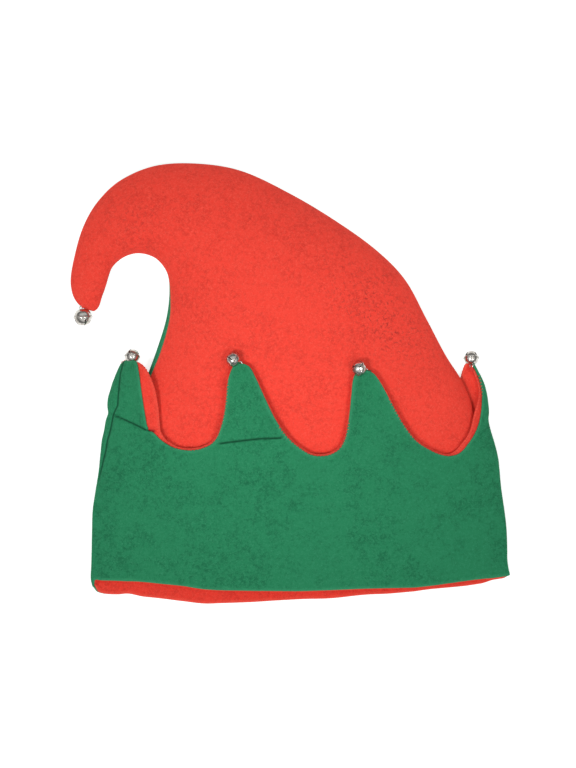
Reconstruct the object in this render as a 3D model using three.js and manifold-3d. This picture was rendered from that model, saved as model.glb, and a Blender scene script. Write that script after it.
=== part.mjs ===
// An elf hat lying flat on its back: a hooked felt crown, red in front and green behind,
// inside a pointed green cuff with a red lining, and a jingle bell at each tip.
// Millimetres. X runs to the wearer's left, Y from the mouth to the top, Z up from the table.

import * as THREE from "three";
import { mergeVertices } from "three/addons/utils/BufferGeometryUtils.js";
import Module from "manifold-3d";

const wasm = await Module();
wasm.setup();

// Driving sizes of the hat, lying flat
const mouthWidth = 300;
const hatLength = 308;
const cuffHeight = 98;
const pointHeight = 65;
const hemDip = 10;
const crownLoft = 36;
const seamHeight = 7;
const bellTentSpread = 24;
const crownDrape = 34;

// Felt and how it is sewn
const feltThickness = 1.5;
const seamLand = 3;
const seamGap = 0.3;
const layerGap = 0.8;
const drapeClearance = 0.9;
const liningShow = 0.8;

// Bells
const pointBellDiameter = 11;
const crownBellDiameter = 13.4;
const bellWall = 0.5;
const bellSlotWidth = 1.3;
const bellBallDiameter = 3.6;
const bellSeatGap = 0.3;
const crownBellBearing = -87;
const crownBellAcross = 0.7;

// Fineness of the facets, and the heights of the cuff's rows as shares of the way to its edge
const crownColumns = 12;
const crownStations = 27;
const cuffRises = [0, 0.3, 0.6, 0.8, 1];
const bellSides = 10;

// Colours
const feltRed = { color: 0xd93a2b, roughness: 0.95, metalness: 0 };
const feltGreen = { color: 0x1f7a4f, roughness: 0.95, metalness: 0 };
const nickel = { color: 0xc9c5be, roughness: 0.28, metalness: 1 };

const halfMouth = mouthWidth / 2;
const tipHeight = cuffHeight + pointHeight;
const layer = feltThickness + layerGap;
const crownFloor = 2 * layer;
const crownSideInset = 2 * (seamLand + layerGap) + drapeClearance + 1;

// Silhouette of the cuff: up is a share of the tip height, left and right of half the mouth width
const cuffSides = [
  { up: -0.05, left: -0.984, right: 0.99 },
  { up: 0.0, left: -0.994, right: 1.0 },
  { up: 0.18, left: -1.002, right: 0.998 },
  { up: 0.35, left: -0.998, right: 0.985 },
  { up: 0.53, left: -0.97, right: 0.96 },
  { up: 0.66, left: -0.954, right: 0.93 },
  { up: 0.8, left: -0.93, right: 0.908 },
  { up: 0.885, left: -0.918, right: 0.905 },
  { up: 0.94, left: -0.895, right: 0.886 },
  { up: 1.0, left: -0.862, right: 0.845 },
];

// Hem of the mouth, a share of the hem dip at each place across, in shares of the half width
const hemLine = [
  { at: -1.0, front: 0.35, back: 0.05 },
  { at: -0.9, front: 0.58, back: -0.35 },
  { at: -0.7, front: 0.5, back: -0.66 },
  { at: -0.45, front: 0.12, back: -0.93 },
  { at: -0.2, front: 0.0, back: -0.88 },
  { at: 0.2, front: 0.0, back: -0.6 },
  { at: 0.5, front: 0.1, back: -0.3 },
  { at: 0.72, front: 0.42, back: 0.03 },
  { at: 0.9, front: 0.8, back: 0.6 },
  { at: 1.0, front: 1.08, back: 1.08 },
];

// One flank of a point, from the valley (0, 0) to the tip (1, 1)
const flankProfile = [
  { across: 0.25, up: 0.05 },
  { across: 0.42, up: 0.15 },
  { across: 0.55, up: 0.28 },
  { across: 0.65, up: 0.45 },
  { across: 0.72, up: 0.62 },
  { across: 0.8, up: 0.81 },
  { across: 0.88, up: 0.95 },
];

// Pointed edges, seam to seam: at is a share of the half width there, up of the point height,
// and fill bends the flank that leads to the next row, below 1 for a slimmer point
const greenFrontEdge = [
  { at: -1.0, up: 0.93, fill: 1.0 },
  { at: -0.962, up: 0.99, fill: 0.88 },
  { at: -0.545, up: 0.03, fill: 0.85 },
  { at: -0.325, up: 1.0, fill: 1.15 },
  { at: 0.115, up: 0.0, fill: 0.95 },
  { at: 0.387, up: 0.93, fill: 0.94 },
  { at: 0.75, up: -0.01, fill: 0.42 },
  { at: 0.994, up: 0.97, fill: 1.0 },
  { at: 1.0, up: 0.93, fill: 1.0 },
];
const redFrontEdge = [
  { at: -1.0, up: 0.91, fill: 1.0 },
  { at: -0.95, up: 0.97, fill: 1.5 },
  { at: -0.545, up: 0.03, fill: 0.85 },
  { at: -0.325, up: 0.98, fill: 1.15 },
  { at: 0.115, up: 0.0, fill: 0.95 },
  { at: 0.387, up: 0.91, fill: 0.94 },
  { at: 0.745, up: -0.01, fill: 0.52 },
  { at: 0.985, up: 0.95, fill: 1.0 },
  { at: 1.0, up: 0.91, fill: 1.0 },
];
const backEdge = [
  { at: -1.0, up: 0.93, fill: 1.0 },
  { at: -0.962, up: 0.99, fill: 1.6 },
  { at: -0.6, up: 0.0, fill: 1.0 },
  { at: -0.3, up: 0.97, fill: 1.0 },
  { at: 0.05, up: 0.0, fill: 1.0 },
  { at: 0.36, up: 0.96, fill: 1.0 },
  { at: 0.68, up: 0.0, fill: 1.9 },
  { at: 0.975, up: 0.97, fill: 1.0 },
  { at: 1.0, up: 0.93, fill: 1.0 },
];

// Sections of the crown from the mouth to the tip of the hook. Places are shares of half the
// mouth width and of the hat length, loft is a share of the crown loft, a tucked section fills
// the cuff from side to side, and wrap says how far the back felt rolls onto the front, as a
// share of the seam land
const crownSections = [
  { tucked: true, innerX: 0, innerY: 0.045, outerX: 0, outerY: 0.045, loft: 0.5, wrap: 0 },
  { tucked: true, innerX: 0, innerY: 0.16, outerX: 0, outerY: 0.16, loft: 0.63, wrap: 0 },
  { tucked: true, innerX: 0, innerY: 0.28, outerX: 0, outerY: 0.28, loft: 0.76, wrap: 0 },
  { tucked: false, innerX: -0.82, innerY: 0.387, outerX: 0.838, outerY: 0.404, loft: 0.86, wrap: 0.3 },
  { tucked: false, innerX: -0.748, innerY: 0.486, outerX: 0.79, outerY: 0.481, loft: 0.94, wrap: 0.8 },
  { tucked: false, innerX: -0.69, innerY: 0.563, outerX: 0.7, outerY: 0.552, loft: 0.97, wrap: 1 },
  { tucked: false, innerX: -0.645, innerY: 0.634, outerX: 0.607, outerY: 0.638, loft: 0.97, wrap: 1 },
  { tucked: false, innerX: -0.629, innerY: 0.692, outerX: 0.506, outerY: 0.728, loft: 0.95, wrap: 0.7 },
  { tucked: false, innerX: -0.636, innerY: 0.739, outerX: 0.366, outerY: 0.798, loft: 0.9, wrap: 0.2 },
  { tucked: false, innerX: -0.675, innerY: 0.77, outerX: 0.169, outerY: 0.867, loft: 0.85, wrap: 0 },
  { tucked: false, innerX: -0.723, innerY: 0.785, outerX: -0.048, outerY: 0.93, loft: 0.78, wrap: 0 },
  { tucked: false, innerX: -0.781, innerY: 0.79, outerX: -0.275, outerY: 0.982, loft: 0.72, wrap: 0 },
  { tucked: false, innerX: -0.834, innerY: 0.784, outerX: -0.482, outerY: 1.0, loft: 0.66, wrap: 0 },
  { tucked: false, innerX: -0.877, innerY: 0.771, outerX: -0.689, outerY: 0.996, loft: 0.6, wrap: 0 },
  { tucked: false, innerX: -0.906, innerY: 0.755, outerX: -0.858, outerY: 0.963, loft: 0.54, wrap: 0 },
  { tucked: false, innerX: -0.92, innerY: 0.737, outerX: -0.969, outerY: 0.914, loft: 0.49, wrap: 0 },
  { tucked: false, innerX: -0.93, innerY: 0.72, outerX: -1.041, outerY: 0.855, loft: 0.45, wrap: 0 },
  { tucked: false, innerX: -0.942, innerY: 0.702, outerX: -1.084, outerY: 0.786, loft: 0.41, wrap: 0 },
  { tucked: false, innerX: -0.954, innerY: 0.686, outerX: -1.104, outerY: 0.722, loft: 0.37, wrap: 0 },
  { tucked: false, innerX: -0.971, innerY: 0.66, outerX: -1.08, outerY: 0.672, loft: 0.3, wrap: 0 },
];

// Bells: the tip that each hangs from, its bearing from there in degrees from +X, and what it
// lies on
const bellTable = [
  { name: "bell_left", edge: greenFrontEdge, tip: 1, bearing: 84, on: "felt" },
  { name: "bell_front_left", edge: greenFrontEdge, tip: 3, bearing: 149, on: "crown" },
  { name: "bell_front_right", edge: greenFrontEdge, tip: 5, bearing: 164, on: "crown" },
  { name: "bell_right", edge: greenFrontEdge, tip: 7, bearing: 92, on: "felt" },
  { name: "bell_back_left", edge: backEdge, tip: 3, bearing: 75, on: "table" },
  { name: "bell_back_right", edge: backEdge, tip: 5, bearing: 100, on: "table" },
];

function mix(a, b, t) {
  return a + (b - a) * t;
}

function smooth(t) {
  const x = Math.min(Math.max(t, 0), 1);
  return x * x * (3 - 2 * x);
}

// Smooth curve through the rows of one column, at a row number that may be a fraction
function alongRows(rows, column, place) {
  const last = rows.length - 1;
  const at = Math.min(Math.max(place, 0), last);
  const i = Math.min(Math.floor(at), last - 1);
  const t = at - i;
  const value = (k) => rows[Math.min(Math.max(k, 0), last)][column];
  const [a, b, c, d] = [value(i - 1), value(i), value(i + 1), value(i + 2)];
  const slopeIn = (c - a) / 2;
  const slopeOut = (d - b) / 2;
  const rise = c - b;
  const bend = 3 * rise - 2 * slopeIn - slopeOut;
  return b + t * (slopeIn + t * (bend + t * (slopeIn + slopeOut - 2 * rise)));
}

// Row number at which a rising column reaches a value
function rowAt(rows, column, value) {
  const last = rows.length - 1;
  for (let i = 0; i < last; i += 1) {
    if (value <= rows[i + 1][column] || i === last - 1) {
      return i + (value - rows[i][column]) / (rows[i + 1][column] - rows[i][column]);
    }
  }
  return last;
}

function cuffSide(column, y) {
  return halfMouth * alongRows(cuffSides, column, rowAt(cuffSides, "up", y / tipHeight));
}

// Middle and half width of the cuff at a height above the mouth
function cuffSpan(y) {
  const left = cuffSide("left", y);
  const right = cuffSide("right", y);
  return { middle: (left + right) / 2, half: (right - left) / 2 };
}

function hemAt(at, column) {
  return hemDip * alongRows(hemLine, column, rowAt(hemLine, "at", at));
}

// How far the upper and the lower felt stand away from the side seam, across the hat
const domePower = 0.66;
const domeShape = (u) => Math.pow(Math.max(1 - u * u, 0), domePower);
const flatFrom = 0.55;
const floorShape = (u) => {
  const t = Math.min(Math.sqrt(Math.max(1 - u * u, 0)) / flatFrom, 1);
  return 1 - (1 - t) * (1 - t);
};

// Plan of one crown section and the heights of its upper and lower felt
function crownSection(place) {
  const row = (column) => alongRows(crownSections, column, place);
  const lastTucked = crownSections.filter((section) => section.tucked).length - 1;
  const free = smooth(place - lastTucked);
  const innerY = hatLength * row("innerY");
  const outerY = hatLength * row("outerY");
  const tuckedInner = cuffSide("left", innerY) + crownSideInset;
  const tuckedOuter = cuffSide("right", outerY) - crownSideInset;
  const firstFree = crownSections.slice(lastTucked + 1);
  const freeInner = halfMouth * alongRows(firstFree, "innerX", place - lastTucked - 1);
  const freeOuter = halfMouth * alongRows(firstFree, "outerX", place - lastTucked - 1);
  const inner = new THREE.Vector2(mix(tuckedInner, freeInner, free), innerY);
  const outer = new THREE.Vector2(mix(tuckedOuter, freeOuter, free), outerY);
  const y = (innerY + outerY) / 2;
  const drape = smooth((y - tipHeight) / crownDrape);
  const closed = smooth(place - (crownSections.length - 2));
  const upper = seamHeight + seamGap / 2;
  const lower = seamHeight - seamGap / 2;
  const loft = crownLoft * row("loft");
  return {
    inner,
    outer,
    top: mix(loft, upper + feltThickness, closed),
    topInside: mix(loft - feltThickness, upper, closed),
    base: mix(mix(crownFloor, 0, drape), lower - feltThickness, closed),
    baseInside: mix(mix(crownFloor, 0, drape) + feltThickness, lower, closed),
    wrap: seamLand * row("wrap"),
  };
}

// Sections that lie straight across the hat, below the bend of the hook
const straightSections = crownSections.slice(0, 8);

// Height of the crown's upper felt at the middle of the hat
function crownTopAt(y) {
  const place = rowAt(straightSections, "outerY", y / hatLength);
  return crownLoft * alongRows(straightSections, "loft", place);
}

// Outside height of the cuff's front, which lies over the lining and the crown
function cuffTopAt(y) {
  return crownTopAt(y) + drapeClearance + 2 * layer;
}

// Where the points end: a list of places across and up, seam to seam
function pointedEdge(rows, show) {
  const edge = [];
  rows.forEach((row, i) => {
    edge.push({ at: row.at, y: cuffHeight + pointHeight * row.up, tip: i });
    const next = rows[i + 1];
    if (!next || i === 0 || i === rows.length - 2) {
      return;
    }
    const rising = next.up > row.up;
    const [valley, tip] = rising ? [row, next] : [next, row];
    const steps = rising ? flankProfile : [...flankProfile].reverse();
    for (const step of steps) {
      edge.push({
        at: mix(valley.at, tip.at, Math.pow(step.across, row.fill)),
        y: cuffHeight + pointHeight * mix(valley.up, tip.up, step.up),
      });
    }
  });
  const last = edge.length - 1;
  return edge.map((point, i) => {
    const before = edge[Math.max(i - 1, 0)];
    const after = edge[Math.min(i + 1, last)];
    const run = (after.at - before.at) * halfMouth;
    const rise = after.y - before.y;
    const length = Math.hypot(run, rise);
    const sideways = i === 0 || i === last ? 0 : (-rise / length) * show;
    return { ...point, at: point.at + sideways / halfMouth, y: point.y + (run / length) * show };
  });
}

// Closed body between an outside and an inside grid of points
function sheetBody(outside, inside) {
  const rows = outside.length;
  const columns = outside[0].length;
  const points = [...outside.flat(), ...inside.flat()];
  const outer = (i, j) => i * columns + j;
  const inner = (i, j) => rows * columns + i * columns + j;
  const index = [];
  const quad = (a, b, c, d) => index.push(a, b, c, a, c, d);
  for (let i = 0; i < rows - 1; i += 1) {
    for (let j = 0; j < columns - 1; j += 1) {
      quad(outer(i, j), outer(i, j + 1), outer(i + 1, j + 1), outer(i + 1, j));
      quad(inner(i, j), inner(i + 1, j), inner(i + 1, j + 1), inner(i, j + 1));
    }
  }
  for (let j = 0; j < columns - 1; j += 1) {
    quad(inner(0, j), inner(0, j + 1), outer(0, j + 1), outer(0, j));
    quad(outer(rows - 1, j), outer(rows - 1, j + 1), inner(rows - 1, j + 1), inner(rows - 1, j));
  }
  const end = columns - 1;
  for (let i = 0; i < rows - 1; i += 1) {
    quad(outer(i, 0), outer(i + 1, 0), inner(i + 1, 0), inner(i, 0));
    quad(inner(i, end), inner(i + 1, end), outer(i + 1, end), outer(i, end));
  }
  if (signedVolume(points, index) < 0) {
    for (let k = 0; k < index.length; k += 3) {
      [index[k + 1], index[k + 2]] = [index[k + 2], index[k + 1]];
    }
  }
  const geometry = new THREE.BufferGeometry().setFromPoints(points);
  geometry.setIndex(index);
  return geometry;
}

function signedVolume(points, index) {
  let sum = 0;
  const cross = new THREE.Vector3();
  for (let k = 0; k < index.length; k += 3) {
    cross.crossVectors(points[index[k + 1]], points[index[k + 2]]);
    sum += points[index[k]].dot(cross) / 6;
  }
  return sum;
}

// Sizes of a bell as shares of its radius, and how far one may hang below or above its tip
const bellRadius = pointBellDiameter / 2;
const flangeShare = 1.08;
const loopReach = 1.38;
const loopRadiusShare = 0.27;
const loopWireShare = 0.09;
const slotLengthShare = 1.5;
const slotDepthShare = 0.78;
const slotStartShare = 0.2;
const nestling = 0.45;
const steepestHang = 0.85;
const floorAtBells = 0.2;

// How much wider a tent's top is than its bell, so that the faces between its points clear the bell
const tentMargin = mouthWidth / crownColumns / 12;

// End of one point of the cuff, where its bell is tied
function tipOf(rows, tip) {
  const edge = pointedEdge(rows, 0);
  const point = edge.find((candidate) => candidate.tip === tip);
  const span = cuffSpan(point.y);
  const inset = 1 - seamLand / span.half;
  const front = rows !== backEdge;
  const seamSide = seamHeight + (front ? seamGap : -seamGap) / 2;
  const rise = front
    ? (cuffTopAt(point.y) - feltThickness - seamSide) * domeShape(point.at)
    : (feltThickness - seamSide) * floorShape(point.at);
  return new THREE.Vector3(span.middle + span.half * inset * point.at, point.y, seamSide + rise);
}

// Height of the crown's upper felt at any place on its straight part
function crownSurfaceAt(x, y) {
  const section = crownSection(rowAt(straightSections, "outerY", y / hatLength));
  const middle = (section.inner.x + section.outer.x) / 2;
  const half = (section.outer.x - section.inner.x) / 2;
  return seamHeight + (section.top - seamHeight) * domeShape((x - middle) / half);
}

function bellPlace(row) {
  const tip = tipOf(row.edge, row.tip);
  const bearing = THREE.MathUtils.degToRad(row.bearing);
  const reach = bellRadius * loopReach + bellSeatGap;
  const ahead = new THREE.Vector2(Math.cos(bearing), Math.sin(bearing));
  const crownHeight = crownSurfaceAt(tip.x + ahead.x * reach, tip.y + ahead.y * reach);
  const resting = {
    felt: tip.z - bellRadius * nestling,
    crown: crownHeight + bellRadius * flangeShare + layerGap,
    table: bellRadius * flangeShare,
  };
  const dip = THREE.MathUtils.clamp((resting[row.on] - tip.z) / reach, -steepestHang, steepestHang);
  const level = Math.sqrt(1 - dip * dip);
  const away = new THREE.Vector3(ahead.x * level, ahead.y * level, dip);
  return { centre: tip.clone().addScaledVector(away, reach), toLoop: away.clone().negate() };
}

const bellPlaces = bellTable.map((row) => ({ ...row, ...bellPlace(row) }));
const backBells = bellPlaces.filter((bell) => bell.on === "table");

// The back bells lift the crown's lower felt into two low tents, of this height at any place
function bellTent(x, y) {
  const lift = bellRadius * flangeShare * 2 + layerGap - crownFloor * floorAtBells;
  const reach = bellRadius * flangeShare + drapeClearance + tentMargin;
  return backBells.reduce((highest, bell) => {
    const away = Math.hypot(x - bell.centre.x, y - bell.centre.y);
    return Math.max(highest, lift * (1 - smooth((away - reach) / bellTentSpread)));
  }, 0);
}

// One face of a crown panel, from the mouth to the tip of the hook and across each section
function crownGrid(heightAt, inset, wrapShare) {
  const grid = [];
  for (let i = 0; i < crownStations; i += 1) {
    const section = crownSection((i / (crownStations - 1)) * (crownSections.length - 1));
    const across = section.outer.clone().sub(section.inner);
    const outwards = across.clone().normalize();
    const inner = section.inner.clone().addScaledVector(outwards, section.wrap * wrapShare);
    const middle = inner.clone().lerp(section.outer, 0.5);
    across.subVectors(section.outer, inner);
    const half = across.length() / 2;
    across.normalize();
    const reach = Math.max(half - inset, half / 2);
    const line = [];
    for (let j = 0; j <= crownColumns; j += 1) {
      const u = Math.cos((Math.PI * j) / crownColumns);
      const spot = middle.clone().addScaledVector(across, reach * u);
      line.push(new THREE.Vector3(spot.x, spot.y, heightAt(section, u, spot)));
    }
    grid.push(line);
  }
  return grid;
}

function crownFront() {
  const seam = seamHeight + seamGap / 2;
  const outside = crownGrid((section, u) => mix(seam, section.top, domeShape(u)), 0, 1);
  const inside = crownGrid((section, u) => mix(seam, section.topInside, domeShape(u)), seamLand, 1);
  return sheetBody(outside, inside);
}

function crownBack() {
  const seam = seamHeight - seamGap / 2;
  const height = (level) => (section, u, spot) =>
    mix(seam, section[level], floorShape(u)) + bellTent(spot.x, spot.y) * floorShape(u);
  return sheetBody(crownGrid(height("base"), 0, 0), crownGrid(height("baseInside"), seamLand, 0));
}

// One face of a cuff layer, from the hem to the pointed edge and from seam to seam
function cuffGrid(edge, hemColumn, inset, heightAt) {
  return cuffRises.map((rise) =>
    edge.map((point) => {
      const y = mix(hemAt(point.at, hemColumn), point.y, rise);
      const span = cuffSpan(y);
      const x = span.middle + (span.half - inset) * point.at;
      return new THREE.Vector3(x, y, heightAt(point.at, y));
    }),
  );
}

// Front or back half of a layer of the cuff, with the number of felt layers that lie outside it
function cuffLayer(rows, side, layersOutside, show) {
  const edge = pointedEdge(rows, show);
  const above = side === "front";
  const seam = seamHeight + (above ? seamGap : -seamGap) / 2;
  const depth = layersOutside * layer;
  const inset = layersOutside * (seamLand + layerGap);
  const height = (cover) => (at, y) =>
    above ? mix(seam, cuffTopAt(y) - cover, domeShape(at)) : mix(seam, cover, floorShape(at));
  const outside = cuffGrid(edge, side, inset, height(depth));
  const inside = cuffGrid(edge, side, inset + seamLand, height(depth + feltThickness));
  return sheetBody(outside, inside);
}

// Stamped bell along Z, its loop up and its cross of slots down. Places are shares of its radius
const bellProfile = [
  { out: 0, up: -0.86 },
  { out: 0.45, up: -0.81 },
  { out: 0.82, up: -0.5 },
  { out: 0.98, up: -0.09 },
  { out: flangeShare, up: -0.07 },
  { out: flangeShare, up: 0.07 },
  { out: 0.96, up: 0.1 },
  { out: 0.84, up: 0.5 },
  { out: 0.48, up: 0.84 },
  { out: 0, up: 0.93 },
];

// The cavity is this profile less the wall, and its ball rests at its shallowest
const shallowestCavity = 0.86;
const cavityProfile = [
  { out: 0, up: -0.86 },
  { out: 0.45, up: -0.81 },
  { out: 0.82, up: -0.5 },
  { out: 0.97, up: 0 },
  { out: 0.84, up: 0.5 },
  { out: 0.48, up: 0.84 },
  { out: 0, up: 0.93 },
];

// Turned body of a profile whose points are all drawn in by the wall
function lathe(profile, radius, wall) {
  const points = profile.map(({ out, up }) => {
    const length = Math.hypot(out, up) * radius;
    const shrink = (length - wall) / length;
    return new THREE.Vector2(out * radius * shrink, up * radius * shrink);
  });
  return new THREE.LatheGeometry(points, bellSides).rotateX(Math.PI / 2);
}

// Solid of a closed geometry, without the slivers that a lathe leaves on its axis
function solid(geometry) {
  geometry.deleteAttribute("normal");
  geometry.deleteAttribute("uv");
  const merged = mergeVertices(geometry, 1e-4);
  const index = merged.getIndex().array;
  const triangles = [];
  for (let k = 0; k < index.length; k += 3) {
    const [a, b, c] = index.slice(k, k + 3);
    if (a !== b && b !== c && c !== a) {
      triangles.push(a, b, c);
    }
  }
  const vertProperties = new Float32Array(merged.getAttribute("position").array);
  const triVerts = new Uint32Array(triangles);
  return new wasm.Manifold(new wasm.Mesh({ numProp: 3, vertProperties, triVerts }));
}

function geometryOf(manifold) {
  const mesh = manifold.getMesh();
  const geometry = new THREE.BufferGeometry();
  geometry.setAttribute("position", new THREE.BufferAttribute(mesh.vertProperties, 3));
  geometry.setIndex(new THREE.BufferAttribute(mesh.triVerts, 1));
  return geometry;
}

function bellShell(diameter) {
  const radius = diameter / 2;
  const loopRadius = radius * loopRadiusShare;
  const wire = radius * loopWireShare;
  const loop = new THREE.TorusGeometry(loopRadius, wire, 5, 9)
    .rotateX(Math.PI / 2)
    .translate(0, 0, radius * loopReach - loopRadius - wire);
  const slotDepth = radius * slotDepthShare;
  const slot = new THREE.BoxGeometry(radius * slotLengthShare, bellSlotWidth, slotDepth);
  slot.translate(0, 0, -radius * slotStartShare - slotDepth / 2);
  const crossSlot = slot.clone().rotateZ(Math.PI / 2);
  const body = solid(lathe(bellProfile, radius, 0)).add(solid(loop));
  const cut = solid(lathe(cavityProfile, radius, bellWall)).add(solid(slot)).add(solid(crossSlot));
  return geometryOf(body.subtract(cut));
}

// Centre of the loose ball, which lies at the bottom of the bell's cavity
function ballPlace(centre, diameter) {
  const drop = (diameter / 2) * shallowestCavity - bellWall - bellBallDiameter / 2 - bellSeatGap;
  return new THREE.Vector3(centre.x, centre.y, centre.z - drop);
}

const hat = new THREE.Group();

function addPiece(name, geometry, finish, parent = hat) {
  const mesh = new THREE.Mesh(geometry, new THREE.MeshStandardMaterial(finish));
  mesh.name = name;
  parent.add(mesh);
  return mesh;
}

function addBell(name, diameter, centre, toLoop) {
  const holder = new THREE.Group();
  holder.position.copy(centre);
  holder.quaternion.setFromUnitVectors(new THREE.Vector3(0, 0, 1), toLoop);
  addPiece(name, bellShell(diameter), nickel, holder);
  hat.add(holder);
  const ball = addPiece(`${name}_ball`, new THREE.IcosahedronGeometry(bellBallDiameter / 2, 1), nickel);
  ball.position.copy(ballPlace(centre, diameter));
}

addPiece("crown_front", crownFront(), feltRed);
addPiece("crown_back", crownBack(), feltGreen);
addPiece("cuff_front", cuffLayer(greenFrontEdge, "front", 0, 0), feltGreen);
addPiece("cuff_back", cuffLayer(backEdge, "back", 0, 0), feltGreen);
addPiece("lining_front", cuffLayer(redFrontEdge, "front", 1, liningShow), feltRed);
addPiece("lining_back", cuffLayer(backEdge, "back", 1, -liningShow), feltRed);
bellPlaces.forEach((bell) => addBell(bell.name, pointBellDiameter, bell.centre, bell.toLoop));

// The crown's own bell lies on the table past the end of the hook
const hookEnd = crownSection(crownSections.length - 1);
const hookTip = hookEnd.inner.clone().lerp(hookEnd.outer, crownBellAcross);
const hookBearing = THREE.MathUtils.degToRad(crownBellBearing);
const hookAway = new THREE.Vector3(Math.cos(hookBearing), Math.sin(hookBearing), 0);
const crownBellRadius = crownBellDiameter / 2;
const crownBellReach = crownBellRadius * loopReach + bellSeatGap;
const crownBellCentre = new THREE.Vector3(hookTip.x, hookTip.y, crownBellRadius * flangeShare);
crownBellCentre.addScaledVector(hookAway, crownBellReach);
addBell("bell_crown", crownBellDiameter, crownBellCentre, hookAway.clone().negate());

// The origin is the middle of the space that the hat takes up, on the table
const extent = new THREE.Box3().setFromObject(hat, true);
const middle = extent.getCenter(new THREE.Vector3());
hat.position.set(-middle.x, -middle.y, -extent.min.z);

export default hat;
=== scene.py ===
"""A felt elf hat lying flat on its back on a pale table, seen from straight above.

The drawing's own units are millimetres: X to the right across the hat, Y from its mouth to its
top, Z up from the table. Shares in the tables are of half the mouth's width across, and of the
height of the cuff's tips or of the hat's length along Y, as each table says.
"""

from __future__ import annotations

import logging
import math
from collections.abc import Callable, Sequence
from dataclasses import dataclass, field, replace
from enum import Enum
from typing import Any

import bmesh
import bpy
import numpy as np
from mathutils import Matrix, Vector
from mathutils.geometry import delaunay_2d_cdt

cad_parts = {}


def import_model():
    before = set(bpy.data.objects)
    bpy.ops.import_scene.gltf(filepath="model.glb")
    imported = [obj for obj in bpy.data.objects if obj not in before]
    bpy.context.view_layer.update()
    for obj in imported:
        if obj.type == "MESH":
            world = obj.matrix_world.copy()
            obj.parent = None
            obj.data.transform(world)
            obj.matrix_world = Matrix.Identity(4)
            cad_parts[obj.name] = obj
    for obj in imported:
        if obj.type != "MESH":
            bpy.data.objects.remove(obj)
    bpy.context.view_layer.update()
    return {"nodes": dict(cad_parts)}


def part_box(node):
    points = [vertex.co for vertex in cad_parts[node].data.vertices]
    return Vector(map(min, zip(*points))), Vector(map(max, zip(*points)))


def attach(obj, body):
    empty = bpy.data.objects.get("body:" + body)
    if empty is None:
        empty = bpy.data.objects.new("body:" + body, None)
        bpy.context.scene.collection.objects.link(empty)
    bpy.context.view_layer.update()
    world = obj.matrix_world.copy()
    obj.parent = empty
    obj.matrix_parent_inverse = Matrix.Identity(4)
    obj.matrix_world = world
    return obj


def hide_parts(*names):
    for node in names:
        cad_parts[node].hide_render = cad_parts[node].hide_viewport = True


MILLIMETRE = 0.001
DRAWING_ORIGIN = np.array((7.4587, -149.4798, 0.0))
BODY = "root"
QUARTER = math.pi / 2
TURN = 2 * math.pi

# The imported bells' sizes, and how far each bell is tied in towards its felt, in millimetres
BOWL_SHARE = 0.86
BELL_WALL = 0.5
BALL_RADIUS = 1.8
BALL_GAP = 0.3
TIED_IN = 0.8

log = logging.getLogger("elf hat")

Points = np.ndarray
Colour = tuple[float, float, float]


class Slot(Enum):
    """The record's material slots."""

    RED = "felt_red"
    GREEN = "felt_green"
    NICKEL = "bell_nickel"


# Tables


@dataclass(frozen=True)
class Table:
    """Rows of listed values under named columns, read as smooth curves."""

    columns: str
    rows: tuple[tuple[float, ...], ...]

    def column(self, name: str) -> Points:
        """Return one column as numbers."""
        return np.array([row[self.columns.split().index(name)] for row in self.rows])

    def row_of(self, key: str, value: Points | float) -> Points:
        """Return the row number, which may be a fraction, at which a rising column has a value."""
        return np.interp(value, self.column(key), np.arange(len(self.rows)))

    def at_row(self, name: str, place: Points | float) -> Points:
        """Read a column's smooth curve at a row number.

        Args:
            name: The column to read.
            place: Row numbers, which may be fractions.

        Returns:
            The column's values there.
        """
        values = self.column(name)
        last = len(values) - 1
        at = np.clip(np.asarray(place, float), 0, last)
        low = np.minimum(np.floor(at).astype(int), last - 1)
        t = at - low
        before, start, end, after = (values[np.clip(low + step, 0, last)] for step in (-1, 0, 1, 2))
        slope_in, slope_out, rise = (end - before) / 2, (after - start) / 2, end - start
        bend = slope_in + slope_out - 2 * rise
        return start + t * (slope_in + t * (3 * rise - 2 * slope_in - slope_out + t * bend))

    def read(self, name: str, key: str, value: Points | float) -> Points:
        """Read a column where a rising key column has a value."""
        return self.at_row(name, self.row_of(key, value))

    def trace(self, first: str, second: str, steps: int) -> Points:
        """Walk the curve of two columns in even row steps, as one point a line."""
        places = np.linspace(0, len(self.rows) - 1, steps)
        return joined(self.at_row(first, places), self.at_row(second, places))


# Silhouette of the cuff: up is a share of the tip height
CUFF_SIDES = Table(
    "up left right",
    (
        (-0.05, -0.985, 1.014), (0.0, -0.994, 1.016), (0.05, -1.007, 1.014), (0.11, -1.005, 1.002),
        (0.145, -1.004, 0.998), (0.177, -1.003, 0.998), (0.277, -1.001, 0.994), (0.355, -0.998, 0.984),
        (0.444, -0.984, 0.97), (0.532, -0.969, 0.961), (0.577, -0.964, 0.956), (0.621, -0.959, 0.946),
        (0.665, -0.954, 0.933), (0.71, -0.943, 0.918), (0.754, -0.935, 0.908), (0.785, -0.924, 0.91),
        (0.81, -0.927, 0.909), (0.835, -0.927, 0.906), (0.862, -0.922, 0.902), (0.888, -0.913, 0.896),
        (0.914, -0.905, 0.888), (0.94, -0.894, 0.876), (0.967, -0.882, 0.86), (1.02, -0.858, 0.833),
    ),
)

# How far the back half of the cuff rolls onto the front at the left side, in millimetres
SIDE_ROLL = Table(
    "up roll",
    (
        (0.0, 0.5), (0.42, 0.6), (0.54, 1.9), (0.62, 3.8), (0.75, 4.9), (0.785, 4.4),
        (0.82, 7.6), (0.87, 7.0), (0.92, 5.1), (0.97, 3.0), (1.02, 1.6),
    ),
)

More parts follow.
